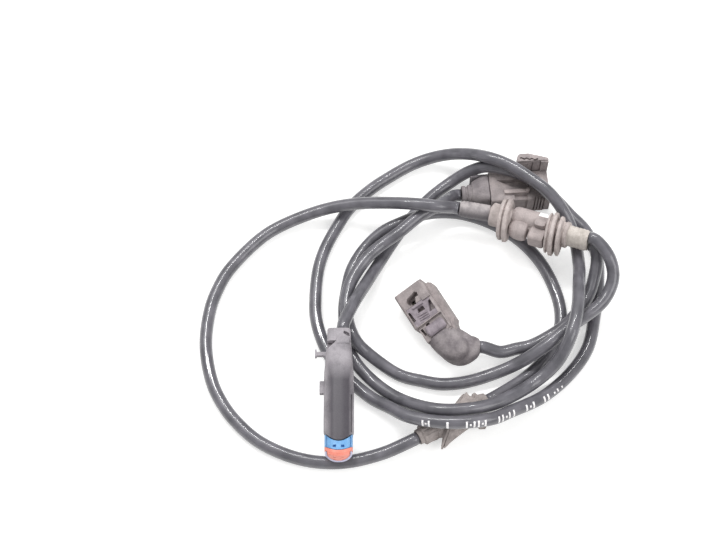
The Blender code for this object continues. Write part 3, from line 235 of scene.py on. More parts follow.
# %% Cable routes, in millimetres
CABLE_DIAMETER = 5.2 * MM
CABLE_PORTS = {             # the first two and the last two points, straight out of the pieces it joins
    "cable_plug_to_grommet": [
        (-45.2, -15.2, 16.23), (-45.21, -12.87, 16.43), (14.43, -39.61, 5.1), (12.38, -40.75, 5.1)],
    "cable_grommet_to_splitter": [
        (-15.96, -56.45, 5.1), (-18.01, -57.58, 5.1), (0.81, 43.29, 14.52), (3.11, 42.86, 14.5)],
    "cable_to_wear_socket": [
        (55.34, 23.94, 22.9), (57.48, 23.04, 23.21), (2.47, 54.72, 5.2), (4.8, 54.88, 5.2)],
    "cable_to_wheel_socket": [
        (56.02, 23.66, 17.44), (58.16, 22.76, 17.76), (11.68, -17.75, 6.44), (9.36, -17.75, 6.72)],
}
CABLE_MIDDLES = {
    "cable_plug_to_grommet": [
        (-42.1, -3.4, 13.8), (-35.6, 11.6, 7.4), (-30.6, 22.6, 3.2), (-25.6, 31.6, 2.7), (-18.1, 43.1, 2.7),
        (-8.1, 55.1, 2.7), (0.4, 62.1, 3.4), (8.9, 65.1, 8.4), (16.9, 64.1, 13.6), (31.9, 59.1, 13.7),
        (42.9, 49.1, 13.5), (50.4, 43.1, 8.9), (57.4, 37.1, 4.9), (61.4, 26.6, 2.8), (60.9, 12.6, 2.7),
        (58.4, -1.4, 2.7), (54.4, -16.4, 2.7), (46.4, -27.9, 2.8), (34.9, -38.4, 4.2), (20.9, -46.9, 9),
        (12.4, -51.9, 13.4), (-3.6, -53.9, 14.9), (-19.1, -49.9, 10.8), (-26.6, -44.4, 6.9), (-34.6, -38.4, 3.6),
        (-46.6, -26.4, 2.7), (-52.6, -16.4, 2.7), (-56.6, -3.4, 2.7), (-57.1, 5.6, 2.7), (-56.1, 19.6, 2.7),
        (-53.6, 29.1, 2.7), (-49.1, 39.1, 2.7), (-43.1, 49.6, 2.7), (-34.1, 59.1, 2.7), (-25.6, 65.6, 2.7),
        (-16.6, 71.1, 3.2), (-8.1, 73.6, 5.2), (0.4, 73.1, 9.2), (8.9, 70.1, 14), (16.9, 65.1, 18.9),
        (24.9, 61.1, 19.3), (32.9, 55.1, 19.3), (40.9, 47.6, 19.1), (46.4, 40.6, 16.4), (50.9, 32.6, 10.8),
        (51.9, 16.6, 12.6), (50.9, 8.1, 15.8), (48.9, -6.4, 19.3), (45.4, -18.4, 18.8), (40.4, -26.4, 11.6),
        (31.4, -33.4, 6.8), (16.9, -43.4, 11), (8.4, -46.9, 13.1), (-7.1, -47.9, 13.1), (-22.6, -40.4, 6),
        (-33.6, -30.9, 2.7), (-41.1, -21.4, 2.7), (-44.1, -10.4, 2.7), (-45.1, 1.1, 2.7), (-44.1, 10.1, 2.7),
        (-42.1, 19.6, 2.7), (-37.1, 29.1, 2.9), (-29.1, 36.1, 6.1), (-20.6, 39.6, 8.5), (-11.1, 44.1, 7.4),
        (1.9, 46.6, 4.2), (14.9, 43.6, 2.7), (27.4, 35.6, 2.7), (36.4, 25.1, 2.7), (41.9, 13.1, 2.7),
        (44.4, 1.1, 2.7), (43.4, -8.4, 2.7), (37.4, -20.4, 2.7), (27.9, -29.9, 2.7),
    ],
    "cable_grommet_to_splitter": [
        (-30.6, -62.4, 2.7), (-46.6, -65.9, 2.7), (-62.1, -64.4, 2.7), (-78.1, -57.4, 2.7), (-88.6, -47.9, 2.7),
        (-94.6, -39.4, 2.7), (-98.6, -30.4, 2.7), (-101.6, -14.9, 2.7), (-100.6, 1.1, 2.7), (-98.1, 10.1, 2.7),
        (-93.6, 19.6, 2.7), (-81.1, 34.6, 2.7), (-72.6, 40.6, 3.2), (-55.6, 46.1, 7), (-42.6, 47.1, 10.6),
        (-30.1, 45.6, 14.4), (-15.6, 42.6, 18.6), (-5.1, 41.6, 18.2),
    ],
    "cable_to_wear_socket": [
        (62.9, 16.1, 21.5), (64.9, 9.1, 16.4), (61.4, 1.1, 12.8), (53.9, -5.9, 12.4), (45.4, -12.4, 13.9),
        (37.9, -18.4, 12.6), (29.9, -22.9, 8.8), (21.9, -25.9, 4.6), (9.9, -29.9, 2.7), (1.9, -31.9, 2.7),
        (-6.1, -32.4, 2.7), (-14.1, -30.9, 2.7), (-22.6, -28.4, 2.7), (-34.6, -20.4, 4.9), (-40.1, -15.9, 8),
        (-43.6, -6.4, 8.1), (-44.1, 3.6, 8.1), (-42.1, 11.6, 8), (-35.6, 22.1, 9), (-30.1, 27.6, 9.2),
        (-21.6, 33.1, 12), (-13.6, 39.6, 13.6), (-3.6, 47.1, 11.4),
    ],
    "cable_to_wheel_socket": [
        (59.4, 18.6, 13.4), (57.4, 9.6, 9.4), (55.4, 4.6, 8.2), (51.9, -0.9, 7.8), (47.9, -5.9, 8.2),
        (43.9, -9.9, 8.5), (35.9, -14.9, 7.6), (30.4, -16.9, 5.8), (24.9, -17.9, 5.3), (18.4, -19.4, 5.4),
    ],
}
print("route points:", {name: len(points) for name, points in CABLE_MIDDLES.items()})

# %% Cable curve and tube
CABLE_SPACING = 1.5 * MM    # between two rings of a cable's tube
CABLE_SIDES = 28
CURVE_STEPS = 24            # between two points of a route, before it is read at even steps


def smooth_route(points, spacing):
    """A centripetal Catmull-Rom curve through points, read at even steps."""
    points = [points[0] * 2 - points[1]] + points + [points[-1] * 2 - points[-2]]
    fine = []
    for p0, p1, p2, p3 in zip(points, points[1:], points[2:], points[3:]):
        t1 = math.sqrt((p1 - p0).length)
        t2 = t1 + math.sqrt((p2 - p1).length)
        t3 = t2 + math.sqrt((p3 - p2).length)
        for step in range(CURVE_STEPS):
            t = t1 + (t2 - t1) * step / CURVE_STEPS
            a1, a2, a3 = p0.lerp(p1, t / t1), p1.lerp(p2, (t - t1) / (t2 - t1)), p2.lerp(p3, (t - t2) / (t3 - t2))
            b1, b2 = a1.lerp(a2, t / t2), a2.lerp(a3, (t - t1) / (t3 - t1))
            fine.append(b1.lerp(b2, (t - t1) / (t2 - t1)))
    fine.append(points[-2])
    lengths = [0.0]
    for before, after in zip(fine, fine[1:]):
        lengths.append(lengths[-1] + (after - before).length)
    count = max(2, round(lengths[-1] / spacing))
    even, place = [], 0
    for step in range(count + 1):
        wanted = lengths[-1] * step / count
        while place < len(fine) - 2 and lengths[place + 1] < wanted:
            place += 1
        share = (wanted - lengths[place]) / (lengths[place + 1] - lengths[place])
        even.append(fine[place].lerp(fine[place + 1], share))
    return even


def carried_frames(route):
    """At each point of a route its direction and two side directions, carried along without twist."""
    frames = []
    side = None
    for index, point in enumerate(route):
        ahead = (route[min(index + 1, len(route) - 1)] - route[max(index - 1, 0)]).normalized()
        start = Vector((0, 0, 1)) if side is None else side
        side = (start - ahead * start.dot(ahead)).normalized()
        frames.append((point, ahead, side, ahead.cross(side)))
    return frames


def tube(name, route, radius, look):
    """A closed tube along a route, with a UV map in millimetres."""
    body = bmesh.new()
    layer = body.loops.layers.uv.new("millimetres")
    rings, reach, travelled = [], [], 0.0
    frames = carried_frames(route)
    for index, (point, ahead, side, cross) in enumerate(frames):
        if index:
            travelled += (point - route[index - 1]).length
        reach.append(travelled / MM)
        turns = [2 * math.pi * step / CABLE_SIDES for step in range(CABLE_SIDES)]
        rings.append([body.verts.new(point + radius * (math.cos(t) * side + math.sin(t) * cross)) for t in turns])
    around = 2 * math.pi * radius / MM
    for index in range(len(rings) - 1):
        for step in range(CABLE_SIDES):
            after = (step + 1) % CABLE_SIDES
            face = body.faces.new((rings[index][step], rings[index][after],
                                   rings[index + 1][after], rings[index + 1][step]))
            face.smooth = True
            places = [(index, step), (index, step + 1), (index + 1, step + 1), (index + 1, step)]
            for loop, (along, turn) in zip(face.loops, places):
                loop[layer].uv = (reach[along], around * turn / CABLE_SIDES)
    body.faces.new(rings[0][::-1])
    body.faces.new(rings[-1])
    bmesh.ops.recalc_face_normals(body, faces=body.faces)
    mesh = bpy.data.meshes.new(name)
    body.to_mesh(mesh)
    body.free()
    mesh.materials.append(look)
    return add_object(name, mesh)


routes, cables = {}, {}
for node, middle in CABLE_MIDDLES.items():
    ports = CABLE_PORTS[node]
    points = [Vector(point) * MM for point in (*ports[:2], *middle, *ports[2:])]
    routes[node] = smooth_route(points, CABLE_SPACING)
    piece = tube(node + "_jacket", routes[node], CABLE_DIAMETER / 2, jacket)
    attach(piece, "root")
    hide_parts(node)
    cables[node] = piece
    measured = sum((b - a).length for a, b in zip(routes[node], routes[node][1:]))
    print(node, "is", round(measured, 4), "m long with", len(routes[node]), "rings")

# %% [markdown]
# ## Moulded and rubber finishes
#
# The plug, the splitter and the sockets are glass-filled nylon, and the boots and grommets are
# rubber. Both come out of the mould matt and nearly black, which the photograph's haze lifts to a
# middle grey, and the colours are written as they read there. A lead that has been on a car carries
# a brown-grey film of brake dust on top. It is drawn as clouds a few millimetres wide, which thin
# out to the surface below, with a fine grain for the mould's spark-eroded texture. On some pieces
# the film also thins out along one direction or more, which paints light and shade into the colour:
# lighter where light falls on a side, darker on a face in shade.

# %% Dusty finish
def dusty_finish(name, clean, dust, share, roughness, cloud_mm, grain_mm, relief_mm, painted_light_and_shade_ways=()):
    """A matt moulded surface under a film of dust: share is how much of it the dust covers.

    The listed directions each come with two places in mm along them between which the film thins
    out, and the film stays wherever one of them keeps it. This paints light and shade into the
    colour: lighter where the film stays, darker where it thins.
    """
    look, tree, shader = fresh_material(name)
    place = add_node(tree, "TexCoord", {})
    clouds = add_node(tree, "TexNoise", {"Vector": place.outputs["Object"], "Scale": 1 / (cloud_mm * MM),
                                         "Detail": 4.0, "Roughness": 0.55})
    grain = add_node(tree, "TexNoise", {"Vector": place.outputs["Object"], "Scale": 1 / (grain_mm * MM),
                                        "Detail": 2.0})
    film = add_node(tree, "MapRange", {"Value": clouds.outputs[0], "From Min": 0.62 - 0.4 * share,
                                       "From Max": 0.92 - 0.4 * share, "To Min": 0.35})
    kept_most = None
    for way, full, bare in painted_light_and_shade_ways:
        along = add_node(tree, "VectorMath", {0: place.outputs["Object"], 1: way}, operation="DOT_PRODUCT")
        kept = add_node(tree, "MapRange", {"Value": along.outputs["Value"], "From Min": bare * MM,
                                           "From Max": full * MM, "To Min": 0.05})
        if kept_most is not None:
            kept = add_node(tree, "Math", {0: kept.outputs[0], 1: kept_most}, operation="MAXIMUM")
        kept_most = kept.outputs[0]
    if kept_most is not None:
        film = add_node(tree, "Math", {0: film.outputs[0], 1: kept_most}, operation="MULTIPLY")
    colour = add_node(tree, "Mix", {0: film.outputs[0], 6: linear(clean), 7: linear(dust)}, data_type="RGBA")
    specks = add_node(tree, "MapRange", {"Value": grain.outputs[0], "From Min": 0.35, "From Max": 0.7,
                                         "To Min": 0.91, "To Max": 1.07})
    flecked = add_node(tree, "Mix", {0: 1.0, 6: colour.outputs[2], 7: specks.outputs[0]},
                       data_type="RGBA", blend_type="MULTIPLY")
    rough = add_node(tree, "MapRange", {"Value": film.outputs[0], "To Min": roughness,
                                        "To Max": min(1.0, roughness + 0.25)})
    relief = add_node(tree, "Bump", {"Height": grain.outputs[0], "Strength": 0.6, "Distance": relief_mm * MM})
    tree.links.new(flecked.outputs[2], shader.inputs["Base Color"])
    tree.links.new(rough.outputs[0], shader.inputs["Roughness"])
    tree.links.new(relief.outputs[0], shader.inputs["Normal"])
    shader.inputs["IOR"].default_value = 1.5
    return look


looks = {
    # The plug's film stays at its rear and along both sides and thins out over the front of its flat top: painted
    # light on the sides and painted shade on the top, laid over its real dust.
    "plug_nylon": dusty_finish("plug_nylon_dust_painted_light_and_shade", "#454148", "#a39ea3", 0.95, 0.42, 6.0, 0.5, 0.05,
                               [((1, 0, 0), 13.0, 22.0), ((0, -1, 0), 5.2, 2.6), ((0, 1, 0), 5.6, 3.8)]),
    "socket_nylon": dusty_finish("socket_nylon_under_dust", "#756d6e", "#aca2a1", 0.6, 0.5, 4.0, 0.5, 0.06),
    "latch_nylon": dusty_finish("latch_nylon_under_dust", "#6e656c", "#a1979e", 0.6, 0.45, 2.5, 0.5, 0.05),
    "splitter_nylon": dusty_finish("splitter_nylon_under_dust", "#887e7d", "#b2a7a5", 0.8, 0.5, 4.0, 0.5, 0.06),
    "boot_rubber": dusty_finish("boot_epdm_rubber", "#5a5358", "#989192", 0.7, 0.62, 5.0, 0.6, 0.07),
    "disc_rubber": dusty_finish("disc_epdm_rubber", "#8e8480", "#c4b9b6", 0.8, 0.65, 3.0, 0.6, 0.08),
    "grommet_rubber": dusty_finish("grommet_epdm_rubber", "#706866", "#aaa19e", 0.8, 0.65, 3.0, 0.6, 0.08),
    # The entry sleeve's film thins out towards its near, lower side: painted shade under the sleeve, below the real
    # dust on its top.
    "entry_sleeve": dusty_finish("entry_sleeve_polyolefin_dust_painted_shade", "#5c585c", "#b3acac", 0.9, 0.5, 3.0, 0.4, 0.05,
                                 [((0, 1, 0.4), 0.9, -3.0)]),
    "branch_sleeve": dusty_finish("branch_sleeve_polyolefin", "#a0978f", "#d3cbc4", 0.8, 0.55, 3.0, 0.4, 0.05),
    "blue_nylon": dusty_finish("moulded_blue_nylon", "#5c9ad2", "#86b8e6", 0.5, 0.35, 3.0, 0.4, 0.02),
    "orange_silicone": dusty_finish("moulded_silicone", "#ef8673", "#fba594", 0.5, 0.4, 3.0, 0.4, 0.03),
    "lilac_nylon": dusty_finish("moulded_lilac_nylon", "#c0bfdc", "#d8d8ee", 0.5, 0.4, 3.0, 0.4, 0.02),
    "tinned_brass": dusty_finish("tinned_brass", "#b9b3a4", "#9a9486", 0.3, 0.3, 2.0, 0.3, 0.01),
    "white_paint": dusty_finish("white_paint", "#efe9ea", "#ffffff", 0.6, 0.5, 1.5, 0.3, 0.03),
}
looks["tinned_brass"].node_tree.nodes["Principled BSDF"].inputs["Metallic"].default_value = 1.0
print("finishes:", ", ".join(looks))

# %% [markdown]
# ## Shapes in a piece's own millimetres
#
# Each moulded piece is drawn flat on its own axis, with x from its rear face to its front, y to its
# side and z up, and is then laid in its place on the floor. A skin over a row of outlines gives the
# drawn-out bodies, a raised plan gives ribs and hooks, and one cut at a time gives slots and windows.
# Working in the piece's own millimetres keeps every number one that a calliper could read off it.

# %% Outlines and solids
def rounded(width, height, corner, middle=(0.0, 0.0), steps=8):
    """A rounded rectangle in the YZ plane."""
    points = []
    for turn, (side, top) in enumerate(((1, 1), (-1, 1), (-1, -1), (1, -1))):
        centre = (middle[0] + side * (width / 2 - corner), middle[1] + top * (height / 2 - corner))
        for step in range(steps + 1):
            angle = math.radians(90 * turn + 90 * step / steps)
            points.append((centre[0] + corner * math.cos(angle), centre[1] + corner * math.sin(angle)))
    return points


def oval(half_width, half_height=None, middle=(0.0, 0.0), steps=64, fullness=2.0):
    """An ellipse in the YZ plane, squarer the larger its fullness is."""
    half_height = half_width if half_height is None else half_height
    points = []
    for step in range(steps):
        cosine, sine = math.cos(2 * math.pi * step / steps), math.sin(2 * math.pi * step / steps)
        points.append((middle[0] + half_width * math.copysign(abs(cosine) ** (2 / fullness), cosine),
                       middle[1] + half_height * math.copysign(abs(sine) ** (2 / fullness), sine)))
    return points


def solid(body):
    """Turn a bmesh into an object that can still be cut."""
    bmesh.ops.recalc_face_normals(body, faces=body.faces)
    mesh = bpy.data.meshes.new("shape")
    body.to_mesh(mesh)
    body.free()
    return add_object("shape", mesh)


def skinned(rings):
    """Skin a row of rings and close both ends."""
    body = bmesh.new()
    rings = [[body.verts.new(point) for point in ring] for ring in rings]
    for near, far in zip(rings, rings[1:]):
        for index in range(len(near)):
            after = (index + 1) % len(near)
            body.faces.new((near[index], near[after], far[after], far[index]))
    body.faces.new(rings[0])
    body.faces.new(rings[-1])
    return solid(body)


def loft(stations):
    """Skin a row of outlines, each at its own x and, if it has a lean, slanted by lean times y."""
    return skinned([[(x + (lean[0] * y if lean else 0.0), y, z) for y, z in outline]
                    for x, outline, *lean in stations])


def bar(sections):
    """Skin a row of rounded rectangles, given by x and then as rounded takes them."""
    return loft([(x, rounded(*section)) for x, *section in sections])


def prism(outline, low, high):
    """Raise a plan outline of (x, y) points from low to high."""
    return skinned([[(x, y, z) for x, y in outline] for z in (low, high)])


def block(low, high):
    return prism([(low[0], low[1]), (high[0], low[1]), (high[0], high[1]), (low[0], high[1])], low[2], high[2])


def apply_changes(target):
    """Bake the modifiers of target into its mesh."""
    baked = bpy.data.meshes.new_from_object(target.evaluated_get(bpy.context.evaluated_depsgraph_get()))
    target.modifiers.clear()
    target.data = baked


def carve(target, tool, operation="DIFFERENCE"):
    """Cut, join or cross target with tool, which is then thrown away."""
    change = target.modifiers.new("carve", "BOOLEAN")
    change.operation, change.solver, change.object = operation, "EXACT", tool
    apply_changes(target)
    bpy.data.objects.remove(tool, do_unlink=True)


def placed_at(at, heading, pitch=0.0, roll=0.0):
    """The place at a point in mm, with +x along heading and pitch, turned by roll about it."""
    turn = Matrix.Rotation(heading, 4, "Z") @ Matrix.Rotation(-pitch, 4, "Y") @ Matrix.Rotation(roll, 4, "X")
    return Matrix.Translation(Vector(at) * MM) @ turn


def placed_between(start, end):
    along = Vector(end) - Vector(start)
    return placed_at(start, math.atan2(along.y, along.x), math.atan2(along.z, math.hypot(along.x, along.y)))


WELD_GAP = 0.008            # mm between two points of a cut that are one
SHARP_ANGLE = 34            # degrees from which an edge is shaded sharp
ROUNDED_ANGLE = 40          # degrees from which an edge is rounded


def settle(shape, name, place, look, nodes=(), edge=0.25):
    """Lay a shape in its place with soft edges and its finish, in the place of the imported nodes."""
    tidy = bmesh.new()
    tidy.from_mesh(shape.data)
    bmesh.ops.remove_doubles(tidy, verts=tidy.verts, dist=WELD_GAP)
    tidy.to_mesh(shape.data)
    tidy.free()
    shape.data.transform(Matrix.Scale(MM, 4))
    shape.data.materials.clear()
    shape.data.materials.append(looks[look])
    shape.data.shade_smooth()
    shape.data.set_sharp_from_angle(angle=math.radians(SHARP_ANGLE))
    shape.name = name
    shape.matrix_world = place
    if edge:
        bevel = shape.modifiers.new("soft_edges", "BEVEL")
        bevel.width, bevel.segments, bevel.limit_method = edge * MM, 2, "ANGLE"
        bevel.angle_limit = math.radians(ROUNDED_ANGLE)
        bevel.harden_normals = True
    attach(shape, "root")
    if nodes:
        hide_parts(*nodes)
    print(name, "is", " x ".join(str(round(v / MM, 1)) for v in shape.dimensions), "mm")
    return shape


# %% [markdown]
# ## Plug
#
# The plug is four pieces behind one another: a black housing, a blue lock, an orange-red seal and a
# pale rim. Their front edges are bowed, because each is the trace of a round-nosed shell seen on a
# rounded bar, so every band is cut from the same bar by two bowed edges.

# %% Plug housing and collar
plug_place = placed_between((-46.9, -15.5, 16.2), (-46.8, -67.4, 11.7))
PLUG_WIDTH, PLUG_HEIGHT, PLUG_CORNER = 11.8, 12.0, 5.0
PLUG_HALF = PLUG_WIDTH / 2
HOUSING_EDGE = (46.5, 4.6)  # how far an edge reaches at its middle, and how far its sides fall back
LOCK_EDGE = (50.2, 2.6)
SEAL_EDGE = (51.6, 2.4)
RIM_EDGE = (52.5, 2.4)
CLEAR = 12                  # past every side of the plug
AHEAD = 110                 # past its tip


def bow(reach, fall, gap=0.0, power=2.2, steps=32):
    """A front edge in plan whose sides fall back, moved forward by a gap square to itself."""
    points = []
    for step in range(steps + 1):
        side = 1.15 * (-1 + 2 * step / steps)
        slope = fall * power * abs(side) ** (power - 1) * (1 if side > 0 else -1) / PLUG_HALF
        length = math.hypot(1.0, slope)
        points.append((reach - fall * abs(side) ** power + gap / length, side * PLUG_HALF + gap * slope / length))
    return points


def plug_section(inset, nose=0.0):
    """The bar that the plug is cut from, made smaller all round by inset and rounded off by nose."""
    corner = max(PLUG_CORNER - inset - nose / 2, 1.0)
    return rounded(PLUG_WIDTH - 2 * inset - nose, PLUG_HEIGHT - 2 * inset - 2 * nose, corner, steps=12)


housing = loft([
    (5.7, rounded(9.6, 9.6, 1.6, steps=12)), (8.0, rounded(10.0, 10.2, 2.2, steps=12)),
    (11.0, rounded(10.5, 10.9, 3.0, steps=12)), (14.5, rounded(11.1, 11.5, 4.0, steps=12)),
    (17.5, rounded(11.6, 11.9, 4.7, steps=12)), (20.0, plug_section(0)), (RIM_EDGE[0], plug_section(0)),
])
carve(housing, prism([(8.9, -3.4), (8.9, -8.9), (7.9, -8.9), (7.9, -9.6), (10.9, -9.6), (10.9, -8.9), (10.4, -8.9),
                      (10.4, -5.6), (12.4, -4.4), (12.4, -3.4)], -1.2, 1.2), "UNION")
carve(housing, block((21.2, -7.6, -1.3), (26.2, -4.9, 1.3)), "UNION")
for groove in range(3):
    carve(housing, block((22.2 + 1.2 * groove, -8.0, -2.0), (22.6 + 1.2 * groove, -7.35, 2.0)))
carve(housing, prism(bow(*HOUSING_EDGE) + [(AHEAD, CLEAR), (AHEAD, -CLEAR)], -CLEAR, CLEAR))
carve(housing, block((29.6, -4.0, -3.3), (60, 4.0, 3.3)))
carve(housing, loft([(0, oval(3.5, steps=32)), (10.2, oval(3.5, steps=32))]))
carve(housing, prism([(5.0, -1.3), (6.3, -1.7), (9.4, -5.2), (9.4, -9.0), (5.0, -9.0)], 1.4, 8.0))
carve(housing, block((27.5, 4.75, 0.5), (43.0, 5.05, 8.0)))
carve(housing, bar([(3.9, 5.0, 0.7, 0.3, (1.7, 4.8)), (6.6, 5.6, 0.7, 0.3, (1.5, 4.8))]), "UNION")
settle(housing, "plug_housing_moulding", plug_place, "plug_nylon", ["plug_housing"], 0.3)

collar = bar([(0, 9.0, 9.4, 1.6), (0.5, 9.3, 9.7, 1.7), (5.4, 9.5, 9.7, 1.7)])
carve(collar, loft([(2.7, oval(3.2, steps=32)), (9.9, oval(3.2, steps=32))]), "UNION")
carve(collar, prism([(1.3, 2.0), (2.3, 1.7), (3.6, 3.6), (3.3, 4.3), (2.2, 4.0)], 3.2, 8.0))
settle(collar, "plug_collar_moulding", plug_place, "plug_nylon", ["plug_collar"], 0.35)

# %% Lock, seal and rim
HOUSING_GAP = 0.3           # between the housing's edge and the lock's
BAND_GAP = 0.2              # between the edges in front of it
RIM_WALL = 1.3              # from the rim's side to its opening


def front_band(inset, rear_edge, front_edge):
    """The part of the plug's rounded bar between two bowed edges."""
    bar = loft([(32.7, plug_section(inset)), (49.1, plug_section(inset)), (51.5, plug_section(inset, 0.33)),
                (52.0, plug_section(inset, 0.6)), (RIM_EDGE[0], plug_section(inset, 1.0))])
    carve(bar, prism(rear_edge + front_edge[::-1], -CLEAR, CLEAR), "INTERSECT")
    return bar


def rim_opening(shrink):
    inner = rounded(PLUG_WIDTH - 2 * (RIM_WALL + shrink), PLUG_HEIGHT, 4.2 - shrink, (0.0, 3.5 + shrink), 12)
    return loft([(29.0, inner), (60.0, inner)])


lock = front_band(0.4, bow(*HOUSING_EDGE, HOUSING_GAP), bow(*LOCK_EDGE))
carve(lock, block((29.9, -3.7, -3.0), (50.5, 3.7, 3.0)), "UNION")
for side in (-1.55, 1.6):
    carve(lock, block((48.3, side - 0.65, 4.4), (49.35, side + 0.65, 8.0)))
for side in (-4.6, 4.6):
    carve(lock, block((44.5, side - 0.15, 3.0), (50.0, side + 0.15, 8.0)))
seal = front_band(0.42, bow(*LOCK_EDGE, BAND_GAP), bow(*SEAL_EDGE))
seal_face = front_band(0.5, bow(50.5, 2.4), bow(*RIM_EDGE))
carve(seal_face, rim_opening(0.3), "INTERSECT")
carve(seal, seal_face, "UNION")
carve(seal, block((30.0, -4.0, -3.3), (50.8, 4.0, 3.3)))
rim = front_band(0.5, bow(*SEAL_EDGE, BAND_GAP), bow(*RIM_EDGE))
carve(rim, rim_opening(0.0))
for side in (-1.6, 1.6):
    for level in (-1.6, 1.6):
        carve(lock, block((40.0, side - 0.95, level - 0.95), (60.0, side + 0.95, level + 0.95)))
        carve(seal, block((50.0, side - 0.55, level - 0.3), (60.0, side + 0.55, level + 0.3)))
settle(lock, "plug_lock_moulding", plug_place, "blue_nylon", ["plug_lock"], 0.15)
settle(seal, "plug_seal_moulding", plug_place, "orange_silicone", ["plug_seal"], 0.15)
settle(rim, "plug_nose_moulding", plug_place, "lilac_nylon", ["plug_nose"], 0.15)

# %% [markdown]
# ## Right-angled wheel socket
#
# A locked two-pole socket has a spring latch that is freed on three sides by slots, so that it can
# bend, and a slide behind it that blocks it once the plug is home. The slots read as dark lines in
# the photograph, so they are cut for real. The boot is one thick rubber elbow on a wide foot: its
# parts are joined and then drawn together into one skin, as rubber has no sharp inside corners.

# %% Wheel socket housing
wheel_place = placed_at((-2.4, -19.4, 7.874), math.radians(119.4), 0.0, math.radians(-25))
CONTACT_PITCH = 4.6


def cut_contact_slots(housing, rear, front):
    """Cut the slots of a socket's two contacts into its front face."""
    for side in (-CONTACT_PITCH / 2, CONTACT_PITCH / 2):
        carve(housing, block((rear, side - 1.2, -1.5), (front, side + 1.2, 1.4)))


housing = bar([(6.0, 12.1, 12.0, 1.2, (-0.65, 0.0)), (13.2, 12.1, 12.0, 1.2, (-0.65, 0.0)),
               (13.6, 13.4, 12.0, 1.2), (30.2, 13.4, 12.0, 1.2)])
carve(housing, prism([(4.2, -5.2), (4.2, -7.0), (8.3, -8.3), (9.2, -9.1), (27.6, -9.1), (28.7, -7.9), (28.7, -5.2)],
                     -4.8, 1.7), "UNION")
carve(housing, prism([(5.2, -4.4), (5.2, -6.2), (9.6, -7.3), (12.6, -6.6), (12.6, -4.4)], -2.0, 4.6), "UNION")
carve(housing, block((13.7, -5.5, 3.4), (22.4, 5.4, 8.0)))
carve(housing, prism([(22.0, 2.2), (23.2, 2.9), (25.0, 3.4), (26.2, 2.6), (26.6, 0.4), (27.2, -1.6),
                      (26.3, -2.6), (24.7, -2.3), (24.9, -0.9), (23.4, -0.3), (22.0, 0.4)], 2.4, 8.0))
carve(housing, block((23.6, 0.6, 1.4), (25.4, 2.4, 8.0)))
carve(housing, block((5.0, -6.3, 4.9), (13.3, 8.0, 8.0)))
carve(housing, block((11.6, 0.2, 2.5), (12.9, 1.9, 8.0)))
carve(housing, prism([(8.8, 3.5), (12.2, 3.9), (12.2, 4.9), (8.8, 4.4)], 2.5, 8.0))
carve(housing, prism([(21.6, -2.9), (23.6, -2.8), (23.2, -5.9), (21.6, -6.4)], 5.0, 6.6), "UNION")
cut_contact_slots(housing, 23.2, 32.0)
settle(housing, "wheel_socket_moulding", wheel_place, "socket_nylon", ["wheel_socket_housing"], 0.35)

# %% Latch and lock slide
latch = prism([(13.75, -5.45), (15.9, -5.45), (16.0, -2.7), (20.3, -4.4), (20.7, -5.45), (22.35, -5.45),
               (22.35, 5.35), (20.9, 5.35), (20.7, 4.5), (16.2, 4.1), (16.1, 5.35), (13.75, 5.35)], 3.7, 5.95)
carve(latch, prism([(18.1, -1.7), (20.2, -1.5), (20.3, 1.0), (18.3, 1.7)], 2.0, 8.0))
for ridge in (14.5, 15.5, 16.5):
    carve(latch, prism([(ridge, -2.0), (ridge + 0.4, -2.0), (ridge + 0.9, 2.5), (ridge + 0.5, 2.5)], 5.5, 6.4),
          "UNION")
carve(latch, prism([(20.6, -2.4), (21.8, -2.4), (21.8, 2.6), (20.9, 2.6)], 5.5, 6.7), "UNION")
settle(latch, "wheel_latch_moulding", wheel_place, "latch_nylon", ["wheel_socket_latch"], 0.18)

slide = bar([(6.9, 7.4, 0.9, 0.4, (-1.4, 5.5)), (7.4, 8.3, 1.7, 0.8, (-1.4, 5.8)),
             (8.6, 8.9, 2.1, 1.0, (-1.3, 6.0)), (10.4, 8.6, 2.1, 1.0, (-1.3, 6.0)),
             (11.2, 8.0, 1.6, 0.8, (-1.2, 5.8)), (11.6, 7.2, 0.9, 0.4, (-1.2, 5.5))])
settle(slide, "wheel_lock_slide", wheel_place, "latch_nylon", ["wheel_socket_lock"], 0.1)

# %% Elbow boot
BOOT_VOXEL = 0.3            # mm between two points of the drawn-together skin
BOOT_SECTIONS = [           # x, left edge, right edge, half height, level of the middle
    (6.7, 5.4, -6.6, 5.7, -0.1), (5.2, 5.5, -7.0, 6.1, -0.1), (3.4, 5.3, -7.6, 6.3, -0.3),
    (1.2, 4.9, -8.0, 6.4, -0.6), (-1.0, 4.3, -8.2, 6.4, -0.8), (-3.0, 3.4, -8.0, 6.2, -1.0),
    (-4.6, 2.2, -7.5, 5.7, -1.2), (-5.8, 0.8, -6.6, 4.8, -1.4), (-6.6, -0.8, -5.2, 3.2, -1.6),
]
FOOT_SECTIONS = [           # the same of the wide foot that the elbow stands on
    (6.7, 5.2, -7.4, 3.4, -1.4), (5.4, 5.4, -7.9, 3.5, -1.6), (3.6, 5.3, -8.8, 3.5, -1.9),
    (1.4, 5.0, -9.8, 3.5, -2.2), (-1.0, 4.5, -10.6, 3.4, -2.5), (-3.2, 3.8, -10.8, 3.3, -2.8),
    (-5.0, 2.8, -10.6, 3.2, -3.0), (-6.6, 1.4, -9.9, 2.9, -3.2), (-7.8, -0.5, -8.8, 2.3, -3.3),
    (-8.5, -2.8, -7.2, 1.3, -3.4),
]


def skin_over(sections):
    """A skin over oval sections given by their edges, half height and level."""
    return loft([(x, oval((left - right) / 2, half, ((left + right) / 2, level), 48, 2.7))
                 for x, left, right, half, level in sections])


